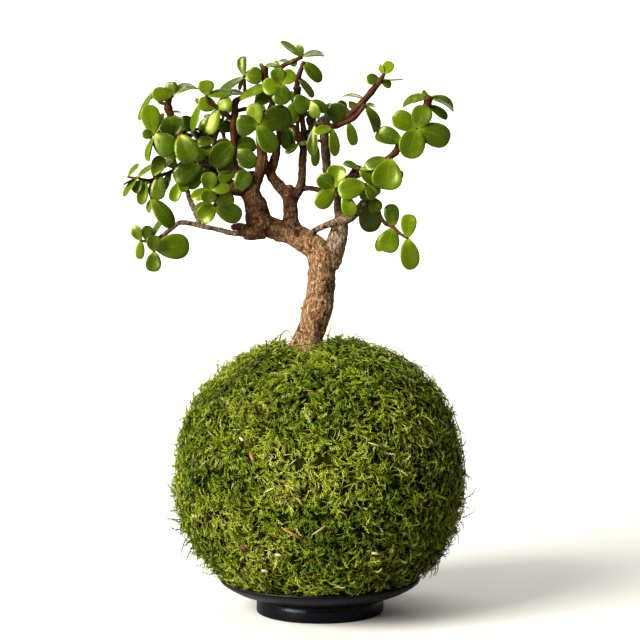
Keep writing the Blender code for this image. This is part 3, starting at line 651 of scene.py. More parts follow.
@dataclass(frozen=True)
class Finish:
    """What every finish has.

    Attributes:
        name: the material's name.
        roughness: from 0 mirror to 1 chalk.
        relief: depth of the bump in millimetres.
    """

    name: str
    roughness: float
    relief: float = 0.0

    def make(self, effects: Effects) -> Material:
        """Makes the finish's material.

        Args:
            effects: the shared shader node groups.

        Returns:
            The material.
        """
        coat = Coat(self.name, effects)
        coat.fill(coat.shader, {"Roughness": self.roughness})
        self.lay(coat)
        return coat.material

    def lay(self, coat: Coat) -> None:
        """Lays the finish's colours and relief on a new material.

        Args:
            coat: the material's graph.
        """
        raise NotImplementedError


@dataclass(frozen=True)
class LeafFinish(Finish):
    """A fleshy, waxy leaf: deep to yellow green by its tone, which holds painted light and shade
    too, with a pale rim, base and midline, partly the leaf's own colour and partly painted
    highlight.
    """

    deep: Colour = (0.0035, 0.0095, 0.0002)
    middle: Colour = (0.03, 0.062, 0.0003)
    bright: Colour = (0.14, 0.215, 0.0008)
    pale: Colour = (0.32, 0.38, 0.02)
    tint: Colour = (0.97, 1.0, 0.35)
    glow: Colour = (0.6, 1.0, 0.15)
    glow_depth: float = 1.5

    def lay(self, coat: Coat) -> None:
        """Lays the finish on the map named surface and the number named tone.

        Args:
            coat: the material's graph.
        """
        across, along = coat.across_along("surface")
        from_middle = coat.math("ABSOLUTE", coat.plus(coat.times(across, 2.0), -1.0))
        tone = coat.plus(coat.attribute("tone"), coat.patches(110.0, -0.05, 0.05))
        tone = coat.plus(tone, coat.patches(1100.0, -0.012, 0.012), clamp=True)
        # The tone is partly painted light and shade: lit leaves brighter, shaded and far-side ones
        # darker.
        colour = coat.ramp(tone, ((0.0, self.deep), (0.5, self.middle), (1.0, self.bright)))
        # Pale rim, base and midline: partly the leaf's own colour, partly painted highlight,
        # stronger on brighter leaves.
        rim = coat.band(from_middle, 0.91, 1.0, 0.0, 0.62)
        base = coat.band(along, 0.0, 0.3, 0.42, 0.0)
        midline = coat.band(from_middle, 0.0, 0.09, 0.22, 0.0)
        midline = coat.times(midline, coat.band(along, 0.2, 0.9, 1.0, 0.0))
        lift = coat.plus(coat.math("MAXIMUM", rim, base), midline, clamp=True)
        lift = coat.times(lift, coat.band(tone, 0.1, 0.75, 0.3, 1.0))
        coat.dress(
            coat.blend(lift, colour, self.pale),
            Roughness=coat.patches(420.0, self.roughness - 0.06, self.roughness + 0.08),
            Specular_IOR_Level=0.5,
            Specular_Tint=self.tint,
            Subsurface_Weight=0.1,
            Subsurface_Radius=self.glow,
            Subsurface_Scale=self.glow_depth * MM,
        )
        height = coat.plus(coat.times(coat.patches(260.0), 0.75), coat.pits(1700.0))
        coat.raise_relief(height, self.relief)


@dataclass(frozen=True)
class StemFinish(Finish):
    """A young stem: green at tone 0, brown at a half and purple-red at 1, with specks."""

    green: Colour = (0.16, 0.2, 0.03)
    brown: Colour = (0.062, 0.017, 0.005)
    red: Colour = (0.028, 0.0032, 0.0032)
    speck: Colour = (0.11, 0.045, 0.018)

    def lay(self, coat: Coat) -> None:
        """Lays the finish on the number named tone.

        Args:
            coat: the material's graph.
        """
        drift = coat.patches(260.0, -0.18, 0.18)
        tone = coat.plus(coat.attribute("tone"), drift, clamp=True)
        colour = coat.ramp(tone, ((0.0, self.green), (0.5, self.brown), (1.0, self.red)))
        pits = coat.pits(900.0, 0.35)
        colour = coat.blend(coat.band(pits, 0.0, 0.7, 0.2, 0.0), colour, self.speck)
        coat.dress(colour, Specular_IOR_Level=0.12)
        coat.raise_relief(coat.plus(pits, coat.patches(500.0)), self.relief)


@dataclass(frozen=True)
class BarkFinish(Finish):
    """Bark: tan or grey on old wood, darker where stained and where painted shade of the leaves
    falls, red-brown on young, with flecks and pits.
    """

    dark: Colour = (0.02, 0.008, 0.0035)
    tan: Colour = (0.4, 0.2, 0.075)
    fleck: Colour = (0.7, 0.46, 0.25)
    # the colour old wood darkens to by stain and by painted shade under the leaves
    shade_and_stain_colour: Colour = (0.052, 0.015, 0.003)
    grey: Colour = (0.3, 0.24, 0.19)
    young: Colour = (0.05, 0.013, 0.005)
    stretch: float = 0.42

    def lay(self, coat: Coat) -> None:
        """Lays the finish on the numbers named youth, hollow, grey and the one that holds stain
        with painted shade.

        Args:
            coat: the material's graph.
        """
        upright = coat.add("Mapping", {0: coat.where, 3: (1.0, 1.0, self.stretch)}).outputs[0]
        old = coat.blend(coat.attribute("grey"), self.tan, self.grey)
        old = coat.blend(coat.times(coat.patches(90.0), 0.4), old, self.dark)
        cloud = coat.patches(300.0, -0.16, 0.16)
        shade_and_stain = coat.plus(coat.attribute("shade_and_stain"), cloud, clamp=True)
        # Painted shade with stain: old wood darkens toward that colour under the leaves.
        old = coat.blend(shade_and_stain, old, self.shade_and_stain_colour)
        flecks = coat.math("MAXIMUM", coat.patches(760.0, -0.7, 1.0, upright), 0.0)
        flecks = coat.times(flecks, coat.band(shade_and_stain, 0.0, 1.0, 1.0, 0.13))
        old = coat.blend(flecks, old, self.fleck)
        wood = coat.blend(coat.attribute("youth"), old, self.young)
        grit = coat.math("MAXIMUM", coat.patches(1300.0, -0.6, 0.85, upright), 0.0)
        wood = coat.blend(grit, wood, self.dark)
        # Darker in the leaf-scar rings and the low spots of the relief: the rings' own colour in
        # part, and painted shade in the grooves.
        furrow = coat.band(coat.attribute("hollow"), 0.2, 0.85, 0.0, 0.9)
        coat.dress(coat.blend(furrow, wood, self.dark), Specular_IOR_Level=0.11)
        coat.raise_relief(coat.plus(coat.pits(800.0), coat.patches(1400.0)), self.relief)


@dataclass(frozen=True)
class StrandFinish(Finish):
    """Moss strands: a hue from each strand's own number, darkened toward the root by painted shade,
    and paler at the tip, partly painted light.
    """

    stops: tuple[tuple[float, Colour], ...] = (
        (0.0, (0.075, 0.036, 0.008)),
        (0.18, (0.21, 0.15, 0.025)),
        (0.32, (0.018, 0.046, 0.0008)),
        (0.48, (0.056, 0.14, 0.0025)),
        (0.64, (0.18, 0.285, 0.003)),
        (0.8, (0.42, 0.5, 0.008)),
        (1.0, (0.8, 0.8, 0.32)),
    )
    # root: painted shade deep among the strands; tip: paler young tips, partly painted light
    root: Colour = (0.003, 0.005, 0.0005)
    tip: Colour = (0.44, 0.52, 0.04)

    def lay(self, coat: Coat) -> None:
        """Lays the finish on the map named OFBake alone: hue across, root to tip along.

        Args:
            coat: the material's graph.
        """
        hue, along = coat.across_along("OFBake")
        # Painted shade: the strands darken toward their roots.
        shade = coat.band(along, 0.05, 0.9, 0.97, 0.0)
        colour = coat.blend(shade, coat.ramp(hue, self.stops), self.root)
        # Paler tips: partly the moss's own young growth, partly painted light.
        colour = coat.blend(coat.band(along, 0.55, 1.0, 0.0, 0.42), colour, self.tip)
        coat.dress(colour, Specular_IOR_Level=0.1)


@dataclass(frozen=True)
class MatFinish(Finish):
    """The mat under the strands: near-black green and brown, its own colour darkened into painted
    shade between the strands, rough and pitted.
    """

    # near-black: painted shade in the gaps between the strands, on top of the mat's own dark colour
    green: Colour = (0.004, 0.008, 0.0006)
    brown: Colour = (0.016, 0.011, 0.002)
    fresh: Colour = (0.03, 0.05, 0.002)

    def lay(self, coat: Coat) -> None:
        """Lays the finish on object coordinates.

        Args:
            coat: the material's graph.
        """
        colour = coat.blend(coat.patches(60.0), self.green, self.brown)
        colour = coat.blend(coat.patches(700.0, 0.0, 0.7), colour, self.fresh)
        coat.dress(colour, Specular_IOR_Level=0.03)
        coat.raise_relief(coat.plus(coat.pits(700.0), coat.patches(900.0)), self.relief)


@dataclass(frozen=True)
class SoilFinish(Finish):
    """Damp soil: dark crumbs with paler grains."""

    crumb: Colour = (0.03, 0.018, 0.01)
    grain: Colour = (0.09, 0.06, 0.035)

    def lay(self, coat: Coat) -> None:
        """Lays the finish on object coordinates.

        Args:
            coat: the material's graph.
        """
        coat.dress(coat.blend(coat.patches(300.0), self.crumb, self.grain))
        coat.raise_relief(coat.pits(400.0), self.relief)


@dataclass(frozen=True)
class GlazeFinish(Finish):
    """Satin black glaze: faint clouds, fine throwing rings and a paler line on the rim that is a
    painted highlight.
    """

    body: Colour = (0.002, 0.0024, 0.0034)
    cloud: Colour = (0.004, 0.0045, 0.0058)
    # painted highlight colour along the rim
    rim_highlight: Colour = (0.016, 0.015, 0.014)
    tint: Colour = (0.68, 0.84, 1.0)
    # where the painted highlight on the rim lies
    highlight_radii: tuple[float, float] = (58.6, 59.5)
    highlight_heights: tuple[float, float] = (19.1, 20.0)

    def lay(self, coat: Coat) -> None:
        """Lays the finish on object coordinates, with a painted highlight on the rim between the
        radii and heights.

        Args:
            coat: the material's graph.
        """
        x, y, z = coat.axes(coat.where)
        square = coat.plus(coat.math("POWER", x, 2.0), coat.math("POWER", y, 2.0))
        radius = coat.math("SQRT", square)
        outer = coat.band(radius, *(value * MM for value in self.highlight_radii))
        upper = coat.band(z, *(value * MM for value in self.highlight_heights))
        # Painted highlight: a paler line along the top of the rim.
        wear_and_highlight = coat.times(coat.times(outer, upper), coat.patches(220.0, 0.25, 1.0))
        colour = coat.blend(coat.patches(70.0), self.body, self.cloud)
        coat.dress(
            coat.blend(wear_and_highlight, colour, self.rim_highlight),
            Roughness=coat.patches(180.0, self.roughness - 0.05, self.roughness + 0.07),
            IOR=1.38,
            Specular_IOR_Level=0.24,
            Specular_Tint=self.tint,
        )
        rings = coat.math("SINE", coat.times(coat.plus(radius, z), 3400.0))
        height = coat.plus(coat.times(rings, 0.12), coat.patches(240.0))
        coat.raise_relief(height, self.relief)


@dataclass(frozen=True)
class ThreadFinish(Finish):
    """Dark olive sewing thread with the plies' slanting lines."""

    dark: Colour = (0.018, 0.02, 0.01)
    light: Colour = (0.06, 0.062, 0.035)

    def lay(self, coat: Coat) -> None:
        """Lays the finish on the map named surface.

        Args:
            coat: the material's graph.
        """
        across, along = coat.across_along("surface")
        slant = coat.plus(coat.times(along, 900.0), coat.times(across, 4.0))
        ply = coat.band(coat.math("SINE", slant), -1.0, 1.0)
        coat.dress(coat.blend(ply, self.dark, self.light))
        coat.raise_relief(ply, self.relief)


@dataclass(frozen=True)
class StrawFinish(Finish):
    """Dry bits caught in the moss: brown at tone 0, orange at a half and pale at 1."""

    brown: Colour = (0.05, 0.022, 0.01)
    orange: Colour = (0.34, 0.13, 0.03)
    pale: Colour = (0.62, 0.5, 0.28)

    def lay(self, coat: Coat) -> None:
        """Lays the finish on the number named tone.

        Args:
            coat: the material's graph.
        """
        drift = coat.patches(500.0, -0.1, 0.1)
        tone = coat.plus(coat.attribute("tone"), drift, clamp=True)
        coat.dress(coat.ramp(tone, ((0.0, self.brown), (0.5, self.orange), (1.0, self.pale))))
        coat.raise_relief(coat.patches(1500.0), self.relief)


@dataclass(frozen=True)
class FloorFinish(Finish):
    """A plain pale floor and wall that throw little of their light back onto the plant."""

    colour: Colour = (0.87, 0.86, 0.83)
    thrown: Colour = (0.3, 0.29, 0.27)
    glow_height: float = 0.5
    glow: float = 0.7

    def lay(self, coat: Coat) -> None:
        """Makes it pale where it is seen, its wall evened by a glow, and darker for other light.

        Args:
            coat: the material's graph.
        """
        seen = coat.add("LightPath").outputs["Is Camera Ray"]
        height = coat.axes(coat.where)[2]
        glow = coat.times(seen, coat.band(height, 0.0, self.glow_height, 0.0, self.glow))
        coat.dress(
            coat.blend(seen, self.thrown, self.colour),
            Emission_Strength=glow,
            Emission_Color=self.colour,
        )


# ---------------------------------------------------------------- wood

# A limb or a stem is a list of (x, z, depth, radius).
TRUNK: list[Spot] = [
    (-6.5, 122, 0, 5.0), (-7.8, 140, 0, 9.0), (-8.2, 154, 0, 10.2), (-6.8, 163, 0, 9.2),
    (-4.0, 172, 0, 8.6), (-1.6, 181, 0, 9.1), (0.3, 190, 0, 8.4), (0.9, 201, 0, 8.2),
    (1.0, 210, 0, 9.0), (-3.5, 217.5, 0, 7.6), (-12, 223.3, 0, 7.2), (-21, 226.6, 0, 6.6),
    (-29, 229.2, -1, 6.4), (-36, 232.6, -2, 8.0), (-38, 240.4, -3, 7.3), (-40.6, 248.5, -3, 5.9),
    (-39.5, 255, -3, 4.1), (-36.6, 261, -3, 3.5), (-34.4, 269, -3, 3.5), (-35.6, 279, -3, 2.9),
    (-37.3, 288, -4, 1.6),
]
LIMBS: dict[str, list[Spot]] = {
    "left_stub": [(-34, 228.5, -2, 6.0), (-40, 227.2, -3, 5.7), (-45.4, 226.6, -4, 4.6)],
    "middle_limb": [
        (-15.5, 225, 0, 6.2), (-17.6, 234, 1, 4.7), (-17.8, 242, 2, 4.4), (-19.3, 249, 3, 4.4),
        (-24, 254, 3, 3.5), (-29.4, 261.5, 2, 3.2), (-27.8, 268.5, 2, 3.0), (-25.9, 276, 2, 2.3),
        (-24.8, 286, 2, 1.4),
    ],
    "middle_stub": [(-17.8, 246, 2, 3.5), (-18.4, 254.6, 2, 2.4)],
    "middle_branch": [
        (-16.5, 246, 3, 3.6), (-11.8, 254, 3, 2.8), (-10.7, 262, 3, 2.5), (-10.4, 271, 4, 2.6),
        (-9.7, 280, 4, 2.2), (-9.8, 288, 4, 1.9),
    ],
    "middle_twig": [(-11.5, 252.5, 3, 1.9), (-6, 253, 3, 1.7), (2, 251.2, 3, 1.5)],
    "right_limb": [
        (4.5, 207, 0, 7.2), (8.6, 216, 0, 6.2), (10.6, 224, 0, 5.9), (12.3, 232, 0, 4.6),
        (11.4, 239, 1, 2.6), (10.3, 246, 1, 2.0), (8.4, 253.5, 2, 2.3), (4.6, 263, 3, 2.6),
        (3.7, 271, 4, 2.9), (3.0, 280, 4, 2.7), (2.3, 287, 4, 3.0), (2.0, 292.5, 4, 4.2),
        (2.4, 295.5, 4, 2.6),
    ],
    "cross_branch": [
        (-8, 224.6, -3, 2.0), (0, 229.3, -4, 2.0), (8, 232.2, -4.5, 2.4), (16, 234.6, -4, 3.1),
        (21, 237.6, -4, 2.8), (26.3, 244.6, -4, 2.5),
    ],
    "right_arm": [
        (8.8, 252, 2, 1.8), (14, 257.8, 1, 1.9), (20, 259.6, 0, 1.9), (27, 263, 0, 1.7),
        (34, 267.4, 1, 1.7), (40, 270.4, 1, 1.7),
    ],
    "long_twig": [
        (-42, 225.6, -3, 1.9), (-52, 226, -3, 1.8), (-61, 228.2, -3, 1.7), (-72, 230.6, -3, 1.6),
        (-83, 232.6, -3, 1.7), (-88, 229.6, -2, 1.4), (-95, 224, -2, 1.5),
    ],
    "grey_twig": [
        (-72, 230.6, -2, 1.4), (-74.4, 238, -1, 1.8), (-77.4, 244.6, 0, 1.7),
        (-79.6, 251.4, 0, 1.5), (-81.6, 255.2, 0, 1.3),
    ],
    "dark_stub": [(-43, 228, 0, 2.2), (-48, 230, 1, 2.4), (-53, 229.6, 2, 1.7)],
    "left_arm": [
        (-41, 247, 0, 4.4), (-48.5, 252.5, 2, 2.8), (-57, 258.5, 6, 2.3), (-67, 265.5, 9, 2.1),
        (-76, 273, 10, 2.0), (-84, 283, 8, 1.8),
    ],
    "rear_left_arm": [
        (-42, 249, 2, 3.0), (-46, 256, 14, 2.4), (-52, 268, 27, 2.0), (-57, 280, 33, 1.6),
    ],
    "rear_middle_arm": [
        (-18, 244, 4, 2.6), (-25, 254.5, 13, 2.3), (-33, 266, 22.5, 2.0), (-35.5, 283, 30, 1.6),
    ],
    "rear_right_arm": [
        (11.5, 234, 2, 2.8), (10.6, 246, 12, 2.2), (16, 257, 24, 2.0), (22, 266, 32, 1.6),
    ],
    "knob": [(8, 209.5, -1, 3.2), (12.6, 209.6, -2, 2.2)],
    "side_nub": [(-7, 180.6, -1, 1.6), (-11.6, 181.2, -2, 0.8)],
}

# Limbs that stay old bark however thin they are, those of them gone grey, and dead black ones
WEATHERED = ("long_twig", "grey_twig", "cross_branch", "middle_twig", "dark_stub", "knob")
GREYED = ("long_twig", "grey_twig", "cross_branch", "right_limb")
DEAD = ("middle_twig", "dark_stub")


@dataclass
class Wood:
    """The trunk and its limbs, joined and barked.

    Attributes:
        finish: of the bark.
        sink: how low the trunk reaches into the moss.
        cell: the mesh size of the joined wood.
        sides: points round a limb before the limbs are joined.
        steps: points between two spots of a limb.
        blocks: how many parts the skin's points are looked up in, to save memory.
        limb_shift: how far the rings of each limb are moved from those of the last.
        easing: how often the joined surface is evened out, which fills the forks.
        lumps: depth of the broad lumps on thick wood.
        grit: depth of the fine unevenness.
        ring_gap: distance between the rings left by old leaves.
        ring_width: of the groove at each ring, to either side.
        ring_depth: depth of those rings.
        routes: the smooth line of each limb, by name.
    """

    finish: Material
    sink: float = 138.0
    cell: float = 0.5
    sides: int = 18
    steps: int = 8
    blocks: int = 12
    limb_shift: float = 40.0
    easing: int = 5
    lumps: float = 0.55
    grit: float = 0.16
    ring_gap: float = 6.5
    ring_width: float = 0.6
    ring_depth: float = 0.34
    routes: dict[str, Route] = field(default_factory=dict)

    def __post_init__(self) -> None:
        """Lays the smooth routes of the trunk and its limbs."""
        above = [spot for spot in TRUNK if spot[1] > self.sink]
        for name, spots in {"trunk": above, **LIMBS}.items():
            self.routes[name] = Route.through(spots, self.steps)

    def joined(self) -> bpy.types.Mesh:
        """All limbs made into one skin on a cubic grid and evened out.

        Returns:
            The mesh.
        """
        shells = [route_tube(route, self.sides, PLAIN) for route in self.routes.values()]
        raw = make_piece("raw_wood", shells, [])
        remesh = raw.modifiers.new("one skin", "REMESH")
        remesh.mode = "VOXEL"
        remesh.voxel_size = self.cell * MM
        smooth = raw.modifiers.new("filled forks", "SMOOTH")
        smooth.factor = 0.5
        smooth.iterations = self.easing
        finished = raw.evaluated_get(bpy.context.evaluated_depsgraph_get())
        mesh = bpy.data.meshes.new_from_object(finished)
        bpy.data.objects.remove(raw)
        return mesh

    def nearest(self, points: Array) -> dict[str, Array]:
        """What the nearest limb says at each point.

        The nearest limb has the least distance to its line less its radius there.

        Args:
            points: one row for each point.

        Returns:
            The limb's radius, the run along it and its youth, stain with painted shade, and grey
            from 0 to 1, by name.
        """
        routes = self.routes.values()
        lines = np.concatenate([route.points for route in routes])
        radii = np.concatenate([route.radii for route in routes])
        ahead = np.concatenate([route.frames()[0] for route in routes])
        shifts = self.limb_shift * np.arange(len(routes))
        runs = np.concatenate([route.run() + shift for route, shift in zip(routes, shifts)])
        lengths = [len(route.points) for route in routes]
        plain, greyed, dead = (
            np.repeat([name in names for name in self.routes], lengths)
            for names in (WEATHERED, GREYED, DEAD)
        )
        picks = []
        for block in np.array_split(points.astype(np.float32), self.blocks):
            apart = np.linalg.norm(block[:, None] - lines[None], axis=2)
            picks.append(np.argmin(apart - radii[None], axis=1))
        pick = np.concatenate(picks)
        slim = np.clip((4.6 - radii[pick]) / 2.6, 0, 1)
        high = np.clip((points[:, 2] - 235) / 45, 0, 1)
        youth = np.where(plain[pick], 0.12, slim * (0.35 + 0.65 * high))
        run = runs[pick] + np.sum((points - lines[pick]) * ahead[pick], axis=1)
        # Painted shade with stain: darker above the fork and towards the left, where the leaves
        # shade the limbs; grey limbs less, dead limbs fully dark.
        shade_and_stain = np.clip((points[:, 2] - 222 - 0.25 * points[:, 0]) / 14, 0, 0.8)
        shade_and_stain = np.where(greyed[pick], 0.35 * shade_and_stain, shade_and_stain) + 0.16 * lattice_noise(points, 8, 17)
        shade_and_stain = np.where(dead[pick], 1.0, shade_and_stain)
        fade = np.clip((points[:, 2] - 205) / 12, 0, 1)
        grey = greyed[pick] * fade * (0.75 + 0.25 * lattice_noise(points, 4, 19))
        return {"radius": radii[pick], "run": run, "youth": youth, "shade_and_stain": shade_and_stain, "grey": grey}

    def build(self) -> None:
        """Makes the wood.

        Each point moves along its normal by lumps of noise, deeper on thick wood, less a groove
        exp(-(d / ring_width)^2) at distance d from each ring, plus fine noise.
        """
        mesh = self.joined()
        count = len(mesh.vertices)
        points = np.empty(count * 3, np.float32)
        mesh.vertices.foreach_get("co", points)
        points = points.reshape(-1, 3).astype(float) / MM
        normals = np.empty(count * 3, np.float32)
        mesh.vertex_normals.foreach_get("vector", normals)
        normals = normals.reshape(-1, 3)
        near = self.nearest(points)
        bulk = np.clip(near["radius"] / 7, 0.2, 1)
        sway = 1.6 * lattice_noise(points, 9, 5)
        phase = (near["run"] + sway) / self.ring_gap
        apart = np.abs(phase - np.round(phase)) * self.ring_gap
        strength = np.clip(0.55 + 0.6 * lattice_noise(points, 5, 11), 0, 1)
        ring = np.exp(-((apart / self.ring_width) ** 2)) * strength
        broad = layered_noise(points, 6.5, 3, 21)
        fine = layered_noise(points, 1.7, 2, 31)
        groove = self.ring_depth * (0.4 + 0.6 * bulk) * ring
        shift = bulk * self.lumps * broad + self.grit * fine - groove
        moved = (points + normals * shift[:, None]) * MM
        mesh.vertices.foreach_set("co", moved.astype(np.float32).ravel())
        # Darkness for the rings and low spots: the scars' own colour in part, and painted shade in
        # the grooves.
        near["hollow"] = ring * 0.7 - 0.45 * broad - 0.35 * fine + 0.1
        for name in ("youth", "shade_and_stain", "grey", "hollow"):
            layer = mesh.attributes.new(name, "FLOAT", "POINT")
            layer.data.foreach_set("value", np.clip(near[name], 0, 1).astype(np.float32))
        mesh.materials.clear()
        mesh.materials.append(self.finish)
        mesh.polygons.foreach_set("use_smooth", np.ones(len(mesh.polygons), bool))
        mesh.polygons.foreach_set("material_index", np.zeros(len(mesh.polygons), np.int32))
        mesh.update()
        piece = bpy.data.objects.new("tree_wood", mesh)
        bpy.context.scene.collection.objects.link(piece)
        settle(piece, MaterialSlot.BARK, "trunk")


# ---------------------------------------------------------------- leaves


def facing(along: Array) -> Array:
    """The direction square with along that faces the viewer most."""
    return unit(np.array((0.0, -1.0, 0.0)) + along * along[1])


@dataclass(frozen=True)
class Leaf:
    """One leaf.

    Attributes:
        at: the stem point it grows from, 10 and up on the first twig, 20 and up on the second.
        aim: degrees on the drawing, 0 to the right and 90 up.
        toward: degrees it leans to the viewer.
        length: from its base to its tip.
        width: at its widest.
        turn: degrees its face turns from the viewer about its own length.
        bend: degrees its tip droops.
        tone: how much brighter or darker it is than its shoot, from -1 to 1, mostly painted light
            on lit leaves and painted shade on shaded ones.
    """

    at: float
    aim: float
    toward: float
    length: float
    width: float
    turn: float = 0.0
    bend: float = 12.0
    tone: float = 0.0

    def axes(self) -> tuple[Array, Array, Array]:
        """Directions along the leaf, across it and out of its upper face.

        Returns:
            Three unit vectors.
        """
        aim, toward, turn = (math.radians(value) for value in (self.aim, self.toward, self.turn))
        flat = math.cos(toward)
        along = np.array((flat * math.cos(aim), -math.sin(toward), flat * math.sin(aim)))
        face = facing(along)
        across = np.cross(face, along)
        face = face * math.cos(turn) + across * math.sin(turn)
        return along, np.cross(face, along), face


@dataclass(frozen=True)
class Shoot:
    """A leafy shoot.

    Attributes:
        stems: a main stem, which starts inside the wood that carries it, then its twigs.
        leaves: its leaves, each a row of a Leaf's numbers in their order.
        tone: the shade of its leaves, 0 dark to 1 bright, lower on far-side shoots as painted
            shade.
        red: the colour of its stems, 0 green, a half brown and 1 purple-red.
    """

    stems: list[list[Spot]]
    leaves: list[tuple[float, ...]]
    tone: float = 0.6
    red: float = 0.6


def leaf_towards(
    at: float, along: Array, face: Array, length: float, width: float
) -> tuple[float, ...]:
    """The leaf that points along one direction, its upper face to another.

    Args:
        at: the stem point it grows from.
        along: unit vector from its base to its tip.
        face: unit vector out of its upper face.
        length: from base to tip.
        width: at its widest.

    Returns:
        The leaf's row of numbers.
    """
    square = facing(along)
    across = np.cross(square, along)
    aim = math.degrees(math.atan2(along[2], along[0]))
    turn = math.degrees(math.atan2(np.dot(face, across), np.dot(face, square)))
    return at, aim, math.degrees(math.asin(-along[1])), length, width, turn


def paired_shoot(length: float, width: float, stem: list[Spot], lift: float = 38.0) -> Shoot:
    """A shoot with two opposite leaves at each stem point, each pair turned square to the last.

    Args:
        length: of each leaf.
        width: of each leaf.
        stem: the stem's spots.
        lift: degrees a leaf leans from square with the stem towards its tip.

    Returns:
        The shoot.
    """
    rise = math.radians(lift)
    points = [place(x, z, depth) for x, z, depth, _ in stem]
    leaves = []
    for station in range(1, len(stem)):
        tip = unit(points[station] - points[station - 1])
        side = unit(np.cross(tip, (0.2, 0.9, 0.4)))
        if station % 2:
            side = np.cross(tip, side)
        for out in (side, -side):
            along = out * math.cos(rise) + tip * math.sin(rise)
            face = unit(tip - along * np.dot(along, tip))
            leaves.append(leaf_towards(station, along, face, length, width))
    # Painted shade: far-side shoots have darker leaves.
    return Shoot([stem], leaves, tone=0.42)


